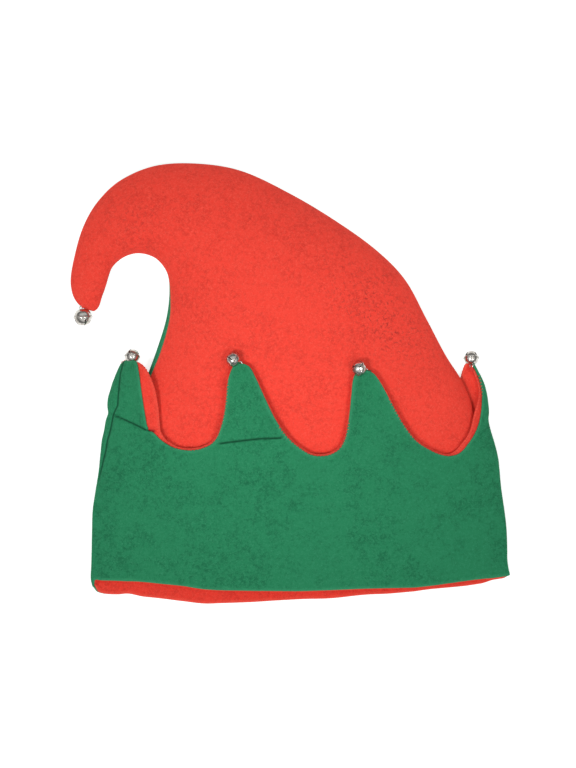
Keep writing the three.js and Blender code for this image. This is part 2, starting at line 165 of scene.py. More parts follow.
# Hem of the mouth, in shares of the hem dip, at places across
HEM = Table(
    "at front back",
    (
        (-1.0, 0.3, 0.3), (-0.985, 0.8, -0.05), (-0.95, 0.79, -0.2), (-0.89, 0.77, -0.24),
        (-0.835, 0.74, -0.19), (-0.77, 0.71, -0.39), (-0.68, 0.58, -0.54), (-0.567, 0.41, -0.75),
        (-0.478, 0.2, -0.9), (-0.41, 0.12, -0.88), (-0.25, 0.07, -0.8), (-0.15, 0.06, -0.7),
        (0.0, 0.05, -0.58), (0.135, 0.12, -0.52), (0.3, 0.22, -0.27), (0.41, 0.26, -0.19),
        (0.54, 0.3, -0.02), (0.61, 0.41, 0.13), (0.68, 0.55, 0.23), (0.785, 0.76, 0.38),
        (0.866, 0.9, 0.57), (0.913, 0.96, 0.8), (0.97, 1.06, 0.95), (1.0, 1.15, 1.15),
    ),
)

# Pointed edges: across is a share of half the mouth's width, up of the tip height
GREEN_EDGE = Table(
    "across up",
    (
        (-0.858, 1.012), (-0.834, 1.017), (-0.81, 1.016), (-0.79, 1.009), (-0.779, 0.958),
        (-0.76, 0.838), (-0.741, 0.736), (-0.729, 0.71), (-0.702, 0.692), (-0.677, 0.669),
        (-0.648, 0.649), (-0.611, 0.631), (-0.564, 0.62), (-0.516, 0.618), (-0.467, 0.627),
        (-0.419, 0.649), (-0.386, 0.692),
        (-0.361, 0.772), (-0.349, 0.852), (-0.343, 0.918), (-0.327, 0.972), (-0.308, 0.998),
        (-0.275, 1.001), (-0.243, 0.985), (-0.217, 0.94), (-0.169, 0.843), (-0.12, 0.752),
        (-0.067, 0.681), (-0.01, 0.633), (0.048, 0.6), (0.101, 0.592), (0.154, 0.602),
        (0.2, 0.634), (0.227, 0.696), (0.243, 0.794), (0.251, 0.869), (0.258, 0.929),
        (0.277, 0.967), (0.308, 0.972), (0.347, 0.96), (0.381, 0.918), (0.434, 0.829),
        (0.492, 0.734), (0.554, 0.661), (0.627, 0.617), (0.689, 0.595), (0.737, 0.594),
        (0.776, 0.61), (0.812, 0.647), (0.846, 0.694), (0.87, 0.752), (0.881, 0.82),
        (0.881, 0.885), (0.867, 0.942), (0.847, 0.985), (0.834, 0.999),
    ),
)
RED_EDGE_LEFT = Table(
    "across up",
    (
        (-0.848, 1.004), (-0.814, 1.009), (-0.781, 1.008), (-0.745, 0.979), (-0.716, 0.924),
        (-0.7, 0.876), (-0.688, 0.812), (-0.681, 0.754), (-0.672, 0.702), (-0.648, 0.664),
        (-0.61, 0.643),
    ),
)
RED_EDGE_RIGHT = Table(
    "across up",
    (
        (0.733, 0.606), (0.76, 0.623), (0.79, 0.655), (0.815, 0.687), (0.833, 0.726),
        (0.85, 0.785), (0.867, 0.838), (0.875, 0.886), (0.863, 0.942), (0.845, 0.985),
        (0.834, 0.997),
    ),
)
BACK_EDGE = Table(
    "across up",
    (
        (-0.858, 1.01), (-0.834, 1.016), (-0.805, 1.009), (-0.776, 0.973), (-0.742, 0.896),
        (-0.713, 0.816), (-0.684, 0.732), (-0.646, 0.665), (-0.598, 0.623), (-0.559, 0.612),
        (-0.516, 0.625), (-0.448, 0.683), (-0.386, 0.789), (-0.333, 0.931), (-0.294, 0.989),
        (-0.255, 0.987), (-0.212, 0.927), (-0.154, 0.816), (-0.082, 0.692), (-0.01, 0.625),
        (0.053, 0.608), (0.116, 0.628), (0.183, 0.718), (0.241, 0.852), (0.289, 0.958),
        (0.328, 0.987), (0.366, 0.973), (0.424, 0.887), (0.482, 0.776), (0.54, 0.679),
        (0.602, 0.623), (0.655, 0.619), (0.696, 0.652), (0.728, 0.732), (0.754, 0.834),
        (0.768, 0.896), (0.781, 0.94), (0.793, 0.976), (0.805, 0.999), (0.82, 1.007),
        (0.834, 1.001),
    ),
)

# Sections of the crown from the mouth to the tip of the hook: shares of half the mouth's width
# and of the hat's length, the loft as a share of the crown's, and how far the back felt rolls
# onto the front, in millimetres
CROWN_SECTIONS = Table(
    "inner_x inner_y outer_x outer_y loft roll",
    (
        (-0.82, 0.045, 0.838, 0.045, 0.5, 0.0),
        (-0.82, 0.16, 0.838, 0.16, 0.63, 0.0),
        (-0.82, 0.28, 0.838, 0.28, 0.76, 0.0),
        (-0.82, 0.387, 0.838, 0.404, 0.86, 0.9),
        (-0.748, 0.486, 0.79, 0.481, 0.94, 2.4),
        (-0.69, 0.563, 0.7, 0.552, 0.97, 3.3),
        (-0.645, 0.634, 0.607, 0.638, 0.97, 2.5),
        (-0.629, 0.692, 0.506, 0.728, 0.95, 0.8),
        (-0.636, 0.739, 0.366, 0.798, 0.9, 0.0),
        (-0.675, 0.77, 0.169, 0.867, 0.85, 0.0),
        (-0.723, 0.785, -0.048, 0.93, 0.78, 0.0),
        (-0.781, 0.79, -0.275, 0.982, 0.72, 0.0),
        (-0.834, 0.784, -0.482, 1.0, 0.66, 0.0),
        (-0.877, 0.771, -0.689, 0.996, 0.6, 0.0),
        (-0.906, 0.755, -0.858, 0.963, 0.54, 0.0),
        (-0.92, 0.737, -0.969, 0.914, 0.49, 0.0),
        (-0.93, 0.72, -1.041, 0.855, 0.45, 0.0),
        (-0.942, 0.702, -1.084, 0.786, 0.41, 0.0),
        (-0.954, 0.686, -1.104, 0.722, 0.37, 0.0),
        (-0.971, 0.656, -1.08, 0.668, 0.3, 0.0),
    ),
)
TUCKED_SECTIONS = 3
STRAIGHT_SECTIONS = 8

# Creases pressed into the cuff's front, as lines of places across and up
CREASES: tuple[tuple[tuple[float, float], ...], ...] = (
    (
        (-0.905, 0.78), (-0.862, 0.764), (-0.802, 0.74), (-0.738, 0.711), (-0.715, 0.706),
        (-0.69, 0.712),
    ),
    (
        (-0.402, 0.65), (-0.345, 0.657), (-0.271, 0.665), (-0.198, 0.673), (-0.124, 0.675),
        (-0.075, 0.678),
    ),
)

# How far the lining shows past the green edge at places across, in millimetres
LINING_SHOW = Table(
    "across show",
    (
        (-1.0, 1.3), (-0.4, 1.3), (-0.36, 0.95), (-0.33, 0.25), (-0.26, 0.2), (-0.17, 0.25),
        (-0.09, 0.55), (0.0, 0.95), (0.1, 1.2), (0.2, 1.15), (0.24, 0.45), (0.26, 0.2),
        (0.34, 0.2), (0.4, 0.45), (0.52, 0.75), (0.63, 1.2), (1.0, 1.3),
    ),
)


def joined(*columns: Points) -> Points:
    """Set columns side by side, as one point a line."""
    return np.stack(columns, axis=1)


def mix(first: Any, second: Any, share: Any) -> Any:
    """Blend two values by a share."""
    return first + (second - first) * share


def smooth(value: Points | float) -> Points:
    """Ease a value from 0 to 1 with level ends."""
    share = np.clip(value, 0, 1)
    return share * share * (3 - 2 * share)


def unit(vectors: Points) -> Points:
    """Scale vectors to length 1, one a line."""
    lengths = np.linalg.norm(vectors, axis=-1, keepdims=True)
    return vectors / np.maximum(lengths, 1e-9)


def framed(points: Points) -> Points:
    """Move drawing points, in millimetres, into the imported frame, in metres."""
    return (points + DRAWING_ORIGIN) * MILLIMETRE


def drawn(points: Points) -> Points:
    """Move packed points, in metres, into the drawing, in millimetres."""
    return np.asarray(points, float) / MILLIMETRE - DRAWING_ORIGIN


def swells(points: Points, size: float, height: float, seed: int) -> Points:
    """Make the soft unevenness of lying felt.

    Args:
        points: Places in the drawing, one a line.
        size: Length of the shortest swell, in millimetres.
        height: Greatest height of one swell, in millimetres.
        seed: Seed of the directions.

    Returns:
        A height for each place.
    """
    chance = np.random.default_rng(seed)
    total = np.zeros(len(points))
    waves = 9
    for _ in range(waves):
        bearing = chance.uniform(0, TURN)
        length = size * chance.uniform(1.0, 3.2)
        phase = chance.uniform(0, TURN)
        along = points[:, 0] * math.cos(bearing) + points[:, 1] * math.sin(bearing)
        total += np.sin(TURN * along / length + phase) * length / size
    return total * height / waves


def distance_to_line(places: Points, line: Points) -> tuple[Points, Points]:
    """Measure how far places are from a line of points, and where along it.

    Args:
        places: Places in two dimensions, one a line.
        line: The line's points in two dimensions.

    Returns:
        The distances, positive on the line's left, and the shares along it.
    """
    best = np.full(len(places), 1e9)
    side = np.ones(len(places))
    share = np.zeros(len(places))
    for k in range(len(line) - 1):
        run = line[k + 1] - line[k]
        t = np.clip((places - line[k]) @ run / (run @ run), 0, 1)
        off = places - line[k] - t[:, None] * run
        away = np.hypot(off[:, 0], off[:, 1])
        nearer = away < best
        best = np.where(nearer, away, best)
        side = np.where(nearer, np.sign(run[0] * off[:, 1] - run[1] * off[:, 0]), side)
        share = np.where(nearer, (k + t) / (len(line) - 1), share)
    return best * side, share


# Shape of the hat


@dataclass(frozen=True)
class HatShape:
    """The hat's driving sizes as it lies, in millimetres, and its smooth outer forms."""

    mouth_width: float = 300.0
    hat_length: float = 308.0
    cuff_height: float = 98.0
    point_height: float = 65.0
    hem_dip: float = 10.0
    crown_loft: float = 36.0
    seam_height: float = 7.0
    felt: float = 1.5
    sewn_gap: float = 0.12
    layer: float = 2.3
    drape_clearance: float = 0.9
    crown_drape: float = 34.0
    crown_side_inset: float = 9.5
    tip_closing: float = 0.9
    dome_power: float = 1.32
    flat_from: float = 0.55
    end_rounding: float = 0.62
    end_bulge: float = 1.3
    outer_corner: float = 0.52
    inner_corner: float = 0.2

    @property
    def half_mouth(self) -> float:
        """Half the mouth's width."""
        return self.mouth_width / 2

    @property
    def tip_height(self) -> float:
        """Height of the cuff's tips above the mouth."""
        return self.cuff_height + self.point_height

    def cuff_side(self, side: str, y: Points) -> Points:
        """Give the place across of the cuff's left or right side at heights above the mouth."""
        return self.half_mouth * CUFF_SIDES.read(side, "up", y / self.tip_height)

    def cuff_at(self, x: Points, y: Points) -> Points:
        """Give places across as shares from the cuff's middle to its sides."""
        left, right = self.cuff_side("left", y), self.cuff_side("right", y)
        return np.clip((2 * x - left - right) / (right - left), -1, 1)

    def hem(self, at: Points, half: str) -> Points:
        """Give the height of the front or back hem at places across."""
        return self.hem_dip * HEM.read(half, "at", at)

    def crown_top(self, y: Points) -> Points:
        """Give the height of the crown's upper felt at the middle of the hat."""
        places = np.interp(
            y / self.hat_length,
            CROWN_SECTIONS.column("outer_y")[:STRAIGHT_SECTIONS],
            np.arange(STRAIGHT_SECTIONS),
        )
        return self.crown_loft * CROWN_SECTIONS.at_row("loft", places)

    def rise(self, ring: Points) -> Points:
        """Give the share of the full height that the upper felt has at ring angles."""
        return np.abs(np.cos(ring)) ** self.dome_power

    def fall(self, ring: Points) -> Points:
        """Give the share of the full depth that the lower felt has at ring angles."""
        near = np.minimum(np.abs(np.cos(ring)) / self.flat_from, 1)
        return 1 - (1 - near) ** 2

    def cuff_surface(self, ring: Points, y: Points) -> Points:
        """Give the cuff's outside.

        Args:
            ring: Angles round the cuff: 0 in the middle of the front, a quarter turn at the
                right side, half a turn in the middle of the back.
            y: Heights above the mouth.

        Returns:
            Points of the outside, one a line.
        """
        left, right = self.cuff_side("left", y), self.cuff_side("right", y)
        x = (left + right) / 2 + (right - left) / 2 * np.sin(ring)
        top = self.crown_top(y) + self.drape_clearance + 2 * self.layer
        upper = mix(self.seam_height, top, self.rise(ring))
        lower = self.seam_height * (1 - self.fall(ring))
        points = joined(x, y, np.where(np.cos(ring) > 0, upper, lower))
        lift = np.maximum(np.cos(ring), 0) ** 0.5
        points[:, 2] += lift * swells(points, 34, 0.42, 5)
        return points

    def crown_surface(self, place: Points, ring: Points, tents: "BellTents") -> Points:
        """Give the crown's outside.

        Args:
            place: Section numbers from the mouth to the tip of the hook.
            ring: Angles round the crown, as round the cuff.
            tents: What the bells behind the crown do to its lower felt.

        Returns:
            Points of the outside, one a line.
        """
        free = smooth(place - (TUCKED_SECTIONS - 1))
        free_place = np.maximum(place, TUCKED_SECTIONS)
        ends = []
        for side, inset in (("inner", self.crown_side_inset), ("outer", -self.crown_side_inset)):
            y = self.hat_length * CROWN_SECTIONS.at_row(f"{side}_y", place)
            tucked = self.cuff_side("left" if side == "inner" else "right", y) + inset
            loose = self.half_mouth * CROWN_SECTIONS.at_row(f"{side}_x", free_place)
            ends.append(joined(mix(tucked, loose, free), y))
        inner, outer = self.rounded(place, *ends)
        spot = (inner + outer) / 2 + (outer - inner) / 2 * np.sin(ring)[:, None]
        drape = smooth(((inner[:, 1] + outer[:, 1]) / 2 - self.tip_height) / self.crown_drape)
        last = len(CROWN_SECTIONS.rows) - 1
        closing = np.clip((last - place) / self.tip_closing, 0, 1)
        open_share = np.sqrt(1 - (1 - closing) ** 2)
        upper = self.crown_loft * CROWN_SECTIONS.at_row("loft", place) - self.seam_height
        lower = self.seam_height - 2 * self.layer * (1 - drape)
        height = np.where(np.cos(ring) > 0, upper * self.rise(ring), -lower * self.fall(ring))
        z = self.seam_height + height * open_share
        points = joined(spot[:, 0], spot[:, 1], z)
        above = np.maximum(np.cos(ring), 0) ** 0.5 * open_share
        points[:, 2] += above * swells(points, 38, 0.5, 11)
        below = np.where(np.cos(ring) > 0, 0, self.fall(ring))
        points[:, 2] += below * tents.lift(spot)
        return points

    def rounded(self, place: Points, inner: Points, outer: Points) -> tuple[Points, Points]:
        """Round the corners of the hook's end, the outer one more than the inner one."""
        last = len(CROWN_SECTIONS.rows) - 1
        near = np.clip((place - last + self.end_rounding) / self.end_rounding, 0, 1)[:, None]
        drawn_in = 1 - np.sqrt(1 - near**2 * 0.9999)
        run = unit(inner - outer) @ np.array([[0.0, -1.0], [1.0, 0.0]])
        ahead = run * drawn_in * self.end_bulge
        new_outer = mix(outer, inner, drawn_in * self.outer_corner) + ahead
        new_inner = mix(inner, outer, drawn_in * self.inner_corner) + ahead
        return new_inner, new_outer


@dataclass(frozen=True)
class BellTents:
    """Low tents in the crown's lower felt, over the bells that lie under it."""

    centres: tuple[tuple[float, float], ...]
    bell_radius: float = 5.5
    flange_share: float = 1.08
    spread: float = 24.0
    gap: float = 0.8
    floor_at_bells: float = 0.92
    clearance: float = 3.0

    def lift(self, spot: Points) -> Points:
        """Give how far the felt is lifted at places in plan."""
        height = self.bell_radius * self.flange_share * 2 + self.gap - self.floor_at_bells
        reach = self.bell_radius * self.flange_share + self.clearance
        lifts = np.zeros(len(spot))
        for x, y in self.centres:
            away = np.hypot(spot[:, 0] - x, spot[:, 1] - y)
            lifts = np.maximum(lifts, height * (1 - smooth((away - reach) / self.spread)))
        return lifts


# Meshes


def vertex_normals(points: Points, triangles: np.ndarray) -> Points:
    """Average the facing of each point's triangles."""
    corners = points[triangles]
    facing = np.cross(corners[:, 1] - corners[:, 0], corners[:, 2] - corners[:, 0])
    total = np.zeros_like(points)
    for k in range(3):
        np.add.at(total, triangles[:, k], facing)
    return unit(total)


def place_object(name: str, data: bpy.types.ID) -> bpy.types.Object:
    """Make an object of some data and put it in the scene."""
    thing = bpy.data.objects.new(name, data)
    bpy.context.scene.collection.objects.link(thing)
    return thing


def mesh_object(name: str, points: Points, faces: Sequence[Sequence[int]]) -> bpy.types.Object:
    """Make a smooth mesh object from drawing points.

    Args:
        name: The piece's name.
        points: Points in the drawing.
        faces: Corners of each face.

    Returns:
        The object, at the origin.
    """
    mesh = bpy.data.meshes.new(name)
    mesh.from_pydata(framed(points).tolist(), [], [list(map(int, face)) for face in faces])
    mesh.update()
    mesh.polygons.foreach_set("use_smooth", [True] * len(mesh.polygons))
    return place_object(name, mesh)


def add_mark(thing: bpy.types.Object, name: str, values: Points) -> None:
    """Store a number on each point, for the finishes to read."""
    attribute = thing.data.attributes.new(name, "FLOAT", "POINT")
    attribute.data.foreach_set("value", np.asarray(values, np.float32))


@dataclass(frozen=True)
class Skin:
    """One face of a piece of felt: its points, its triangles and its rim in order."""

    points: Points
    triangles: np.ndarray
    rim: np.ndarray
    flat: Points
    level: np.ndarray | None = None

    def facing(self) -> Points:
        """Return where the points face: straight to the side at points that are level."""
        ways = vertex_normals(self.points, self.triangles)
        if self.level is not None:
            ways[self.level, 2] = 0
        return unit(ways)

    def moved_in(self, depth: float) -> Points:
        """Return the points moved into the felt by a depth."""
        return self.points - self.facing() * depth


@dataclass(frozen=True)
class FeltSheet:
    """A cut piece of felt with its real thickness and soft rounded rims."""

    name: str
    thickness: float = 1.5
    rim_steps: int = 4
    rim_fullness: float = 0.9

    def body(self, skin: Skin, depth: float) -> tuple[Points, list[Sequence[int]]]:
        """Thicken a skin into a closed body.

        Args:
            skin: The face that the piece follows.
            depth: How far the piece's outer face lies inside the skin.

        Returns:
            The body's points and faces: the outer face, the inner face, then the rim.
        """
        outer = skin.moved_in(depth)
        inner = skin.moved_in(depth + self.thickness)
        count, around = len(outer), len(skin.rim)
        facing = skin.facing()[skin.rim]
        rim_outer, rim_inner = outer[skin.rim], inner[skin.rim]
        along = unit(np.roll(rim_outer, -1, axis=0) - np.roll(rim_outer, 1, axis=0))
        away = unit(np.cross(along, facing))
        rings = []
        for step in range(1, self.rim_steps):
            turn = math.pi * step / self.rim_steps
            bulge = away * math.sin(turn) * self.thickness / 2 * self.rim_fullness
            rings.append(mix(rim_inner, rim_outer, (1 + math.cos(turn)) / 2) + bulge)
        tracks = [skin.rim]
        tracks += [2 * count + k * around + np.arange(around) for k in range(len(rings))]
        tracks.append(skin.rim + count)
        faces = [*skin.triangles, *(skin.triangles[:, ::-1] + count)]
        for upper, lower in zip(tracks, tracks[1:]):
            faces += list(joined(upper, lower, np.roll(lower, -1), np.roll(upper, -1)))
        return np.concatenate([outer, inner, *rings]), faces

    def build(self, skin: Skin, depth: float, marks: dict[str, Points]) -> bpy.types.Object:
        """Make the piece from its outer face.

        Args:
            skin: The face that the piece follows.
            depth: How far the piece's outer face lies inside the skin.
            marks: Numbers for each point of the face, by name.

        Returns:
            The closed mesh object.
        """
        thing = mesh_object(self.name, *self.body(skin, depth))
        rings = self.rim_steps - 1
        for name, values in marks.items():
            add_mark(thing, name, np.concatenate([values, values, *[values[skin.rim]] * rings]))
        return thing


def grid_skin(surface: Callable[[Points, Points], Points], grid: tuple[Points, Points]) -> Skin:
    """Cover a surface with a regular grid.

    Args:
        surface: Gives points for the two flat places.
        grid: The flat places as two arrays of lines by columns.

    Returns:
        The skin over the grid.
    """
    lines, columns = grid[0].shape
    points = surface(grid[0].ravel(), grid[1].ravel())
    number = np.arange(lines * columns).reshape(lines, columns)
    a, b, c, d = number[:-1, :-1], number[:-1, 1:], number[1:, 1:], number[1:, :-1]
    halves = [np.stack([a, b, c], axis=-1), np.stack([a, c, d], axis=-1)]
    triangles = np.concatenate([half.reshape(-1, 3) for half in halves])
    rim = np.concatenate([number[0, :-1], number[:-1, -1], number[-1, :0:-1], number[:0:-1, 0]])
    return Skin(points, triangles, rim, joined(grid[0].ravel(), grid[1].ravel()))


def inside(outline: Points, places: Points) -> np.ndarray:
    """Tell which places lie inside a closed outline."""
    within = np.zeros(len(places), bool)
    x, y = places[:, 0], places[:, 1]
    for (x0, y0), (x1, y1) in zip(outline, np.roll(outline, -1, axis=0)):
        if y0 != y1:
            crossing = (y0 > y) != (y1 > y)
            within ^= crossing & (x < (x1 - x0) * (y - y0) / (y1 - y0) + x0)
    return within


ROW_STEP = 0.87
RIM_CLEARANCE = 0.55


def cut_skin(
    surface: Callable[[Points, Points], Points],
    outline: Points,
    spacing: float,
    extra: Points,
    spread: float,
) -> Skin:
    """Cover a surface inside an outline with even triangles.

    Args:
        surface: Gives points for a ring angle and a height.
        outline: Closed outline on the flat, counterclockwise, in millimetres.
        spacing: Distance between neighbouring points.
        extra: More places on the flat that need points, such as creases.
        spread: Millimetres on the flat for a radian of ring angle.

    Returns:
        The skin inside the outline.
    """
    low, high = outline.min(axis=0), outline.max(axis=0)
    across, up = np.meshgrid(
        np.arange(low[0], high[0], spacing), np.arange(low[1], high[1], spacing * ROW_STEP)
    )
    across[1::2] += spacing / 2
    places = np.concatenate([extra, joined(across.ravel(), up.ravel())])
    places = places[inside(outline, places)]
    off, _ = distance_to_line(places, np.concatenate([outline, outline[:1]]))
    places = places[np.abs(off) > spacing * RIM_CLEARANCE]
    corners = [Vector(place) for place in np.concatenate([outline, places])]
    made = delaunay_2d_cdt(corners, [], [list(range(len(outline)))], 1, 1e-5)
    flat = np.array([tuple(corner) for corner in made[0]])
    triangles = np.array(made[2])
    old = {source: new for new, sources in enumerate(made[3]) for source in sources}
    rim = np.array([old[k] for k in range(len(outline))])
    points = surface(flat[:, 0] / spread, flat[:, 1])
    return Skin(points, triangles, rim, flat)


# Finishes


def arithmetic(operation: str, flipped: bool = False) -> Callable[..., "Socket"]:
    """Make a method that adds one Math node on a socket and the other values."""

    def method(self: "Socket", *others: Any) -> "Socket":
        """Add the node."""
        values = (*others, self) if flipped else (self, *others)
        return self.graph.node("ShaderNodeMath", {"operation": operation}, dict(enumerate(values)))

    return method


class Socket:
    """A socket of a node tree, whose arithmetic adds Math nodes."""

    __add__ = __radd__ = arithmetic("ADD")
    __mul__ = __rmul__ = arithmetic("MULTIPLY")
    __sub__ = arithmetic("SUBTRACT")
    __rsub__ = arithmetic("SUBTRACT", flipped=True)
    __truediv__ = arithmetic("DIVIDE")
    __abs__ = arithmetic("ABSOLUTE")

    def __init__(self, graph: "Tree", link: bpy.types.NodeSocket) -> None:
        """Keep the tree and the socket."""
        self.graph = graph
        self.link = link

    def step(self, low: float, high: float) -> "Socket":
        """Ease from 0 at the low value to 1 at the high one."""
        settings = {"interpolation_type": "SMOOTHSTEP"}
        return self.graph.node("ShaderNodeMapRange", settings, {0: self, 1: low, 2: high})


class Tree:
    """A node tree that is built by code."""

    def __init__(self, tree: bpy.types.NodeTree) -> None:
        """Keep the tree."""
        self.tree = tree

    def node(
        self, kind: str, settings: dict[str, Any], sockets: dict[Any, Any], output: int | str = 0
    ) -> Socket:
        """Add a node.

        Args:
            kind: The node's type.
            settings: Its settings, set first. Stops are the places and colours of a ramp.
            sockets: A value or a socket for each of its inputs, by name or number.
            output: The output to return.

        Returns:
            The output's socket.
        """
        made = self.tree.nodes.new(kind)
        for key, value in settings.items():
            if key == "stops":
                self.set_stops(made.color_ramp, value)
            else:
                setattr(made, key, value)
        for key, value in sockets.items():
            if isinstance(value, Socket):
                self.tree.links.new(value.link, made.inputs[key])
            else:
                made.inputs[key].default_value = value
        return Socket(self, made.outputs[output])

    def end(self, kind: str, name: str, source: Socket) -> None:
        """Link a socket to the tree's output node."""
        self.tree.links.new(source.link, self.tree.nodes.new(kind).inputs[name])

    @staticmethod
    def set_stops(ramp: bpy.types.ColorRamp, stops: Sequence[tuple[float, Colour]]) -> None:
        """Give a ramp its stops."""
        while len(ramp.elements) < len(stops):
            ramp.elements.new(1.0)
        for element, (place, colour) in zip(ramp.elements, stops):
            element.position = place
            element.color = (*colour, 1.0)


class Graph(Tree):
    """The node tree of one finish."""

    def __init__(self, name: str) -> None:
        """Start a material with an empty tree."""
        self.material = bpy.data.materials.new(name)
        self.material.use_nodes = True
        super().__init__(self.material.node_tree)
        self.tree.nodes.clear()

    def place(self) -> Socket:
        """Return the place on the piece, in metres."""
        return self.node("ShaderNodeTexCoord", {}, {}, "Object")

    def mark(self, name: str) -> Socket:
        """Return a number that the piece's points carry."""
        return self.node("ShaderNodeAttribute", {"attribute_name": name}, {}, "Fac")

    def drawn_out(self, vector: Socket, longer: float, turn: float) -> Socket:
        """Draw a pattern out along one way, which is turned in plan."""
        sockets = {"Vector": vector, "Rotation": (0.0, 0.0, turn), "Scale": (1.0, longer, 1.0)}
        return self.node("ShaderNodeMapping", {"vector_type": "TEXTURE"}, sockets)

    def noise(self, vector: Socket, per_metre: float, detail: float, bend: float = 0.0) -> Socket:
        """Return a cloudy pattern about 0.5."""
        sizes = {"Scale": per_metre, "Detail": detail, "Roughness": 0.6, "Distortion": bend}
        return self.node("ShaderNodeTexNoise", {}, {"Vector": vector, **sizes})

    def bump(self, strength: float, distance: float, height: Socket) -> Socket:
        """Return the facing of a surface that a pattern raises."""
        sockets = {"Strength": strength, "Distance": distance, "Height": height}
        return self.node("ShaderNodeBump", {}, sockets)

    def tinted(self, base: Any, tint: Any, share: Socket) -> Socket:
        """Blend two colours by a share."""
        settings = {"data_type": "RGBA", "blend_type": "MIX"}
        return self.node("ShaderNodeMix", settings, {0: share, 6: base, 7: tint}, 2)

    def finish(self, constants: dict[str, Any], varying: dict[str, Socket]) -> bpy.types.Material:
        """Close the tree with its surface.

        Args:
            constants: Values of the surface that are the same everywhere.
            varying: Sockets of the surface that change over it.

        Returns:
            The material.
        """
        surface = self.node("ShaderNodeBsdfPrincipled", {}, {**constants, **varying})
        self.end("ShaderNodeOutputMaterial", "Surface", surface)
        return self.material


def rgba(colour: Colour) -> tuple[float, float, float, float]:
    """Add full opacity to a colour."""
    return (*colour, 1.0)


@dataclass(frozen=True)
class DarkFleckPatch:
    """A patch of the felt that is flecked darker: centre and size in millimetres."""

    centre: tuple[float, float]
    size: float
    strength: float


@dataclass(frozen=True)
class FeltFinish:
    """Needled polyester felt: cloudy, fibrous and matt."""

    name: str
    base: Colour
    light: Colour
    dark: Colour
    # The fleck colour also serves as painted shade in the creases and the seam's groove.
    fleck_and_shade: Colour
    cloud_strength: float
    fleck_strength: float
    patches: tuple[DarkFleckPatch, ...] = ()

    def material(self) -> bpy.types.Material:
        """Build the felt's material."""
        graph = Graph(self.name)
        place = graph.place()
        cloud = graph.noise(place, 26.0, 3.0, 0.4).step(0.36, 0.66)
        blotch = graph.noise(place, 95.0, 3.0, 0.3).step(0.34, 0.68)
        grain = graph.noise(place, 640.0, 3.0)
        fibres = self.fibres(graph, place)
        mottle = graph.noise(place, 330.0, 3.0, 0.5).step(0.36, 0.64)
        share = cloud * self.cloud_strength + blotch * 0.16 + mottle * 0.26
        share = share + grain * 0.22 + fibres * 0.2
        colour = graph.tinted(rgba(self.dark), rgba(self.base), share.step(0.1, 0.64))
        colour = graph.tinted(colour, rgba(self.light), (fibres * grain).step(0.28, 0.75) * 0.55)
        flecks = graph.noise(place, 900.0, 2.0).step(0.62, 0.74) * self.fleck_strength
        for patch in self.patches:
            flecks = flecks + self.patch_share(graph, place, patch)
        colour = graph.tinted(colour, rgba(self.fleck_and_shade), flecks)
        groove_shade = graph.mark("crease")
        # Painted highlight: the felt is lightened along its cut rims, where it rolls over.
        colour = graph.tinted(colour, rgba(self.light), graph.mark("rim") * (1 - groove_shade) * 0.4)
        # Painted shade: the creases and the left seam's groove are darkened towards the fleck colour.
        colour = graph.tinted(colour, rgba(self.fleck_and_shade), groove_shade.step(0.1, 0.9) * 0.85)
        height = fibres * 0.45 + grain * 0.35 + blotch * 0.4
        bump = graph.bump(0.55, 0.00035, height)
        constants = {
            "Sheen Weight": 0.22,
            "Sheen Roughness": 0.45,
            "Sheen Tint": rgba(self.light),
            "Specular IOR Level": 0.18,
        }
        roughness = 0.84 + fibres * 0.14
        return graph.finish(constants, {"Base Color": colour, "Roughness": roughness, "Normal": bump})

    def fibres(self, graph: Graph, place: Socket) -> Socket:
        """Make fine curled fibres that lie in all directions."""
        total: Any = 0.0
        for turn in (0.15, 0.95, 1.7, 2.5):
            pattern = graph.noise(graph.drawn_out(place, 2.6, turn), 1500.0, 2.0, 1.3)
            ridge = 1 - abs(pattern - 0.5) * 9.0
            total = total + ridge.step(0.0, 1.0) * 0.36
        return total

    def patch_share(self, graph: Graph, place: Socket, patch: DarkFleckPatch) -> Socket:
        """Make the dark flecks of one patch."""
        centre = framed(np.array((*patch.centre, 0.0)))
        settings = {"operation": "MULTIPLY"}
        flat = graph.node("ShaderNodeVectorMath", settings, {0: place, 1: (1.0, 1.0, 0.0)})
        middle = (centre[0], centre[1], 0.0)
        away = graph.node("ShaderNodeVectorMath", {"operation": "DISTANCE"}, {0: flat, 1: middle}, 1)
        near = 1 - (away / (patch.size * MILLIMETRE)).step(0.0, 1.0)
        speckle = graph.noise(place, 420.0, 4.0, 0.8).step(0.5, 0.72)
        return near * speckle * patch.strength


@dataclass(frozen=True)
class NickelFinish:
    """Bright nickel plate with soft wear, and painted shade that darkens its hollows."""

    name: str = "bell_nickel_bright"
    base: Colour = (0.63, 0.605, 0.56)
    worn: Colour = (0.3, 0.27, 0.235)
    shadow: Colour = (0.03, 0.026, 0.022)

    def material(self) -> bpy.types.Material:
        """Build the plate's material."""
        graph = Graph(self.name)
        place = graph.place()
        wear = graph.noise(place, 330.0, 3.0, 0.6).step(0.44, 0.66)
        specks = graph.noise(place, 1100.0, 2.0).step(0.56, 0.7)
        colour = graph.tinted(rgba(self.base), rgba(self.worn), wear * 0.62 + specks * 0.2)
        # Painted shade: the marked insides, slot edges and rim crease are darkened almost to black.
        colour = graph.tinted(colour, rgba(self.shadow), graph.mark("hollow_shade") * 0.92)
        dents = graph.noise(place, 260.0, 2.0)
        bump = graph.bump(0.5, 0.0006, dents)
        roughness = 0.16 + wear * 0.16 + graph.mark("hollow_shade") * 0.3
        varying = {"Base Color": colour, "Roughness": roughness, "Normal": bump}
        return graph.finish({"Metallic": 1.0}, varying)


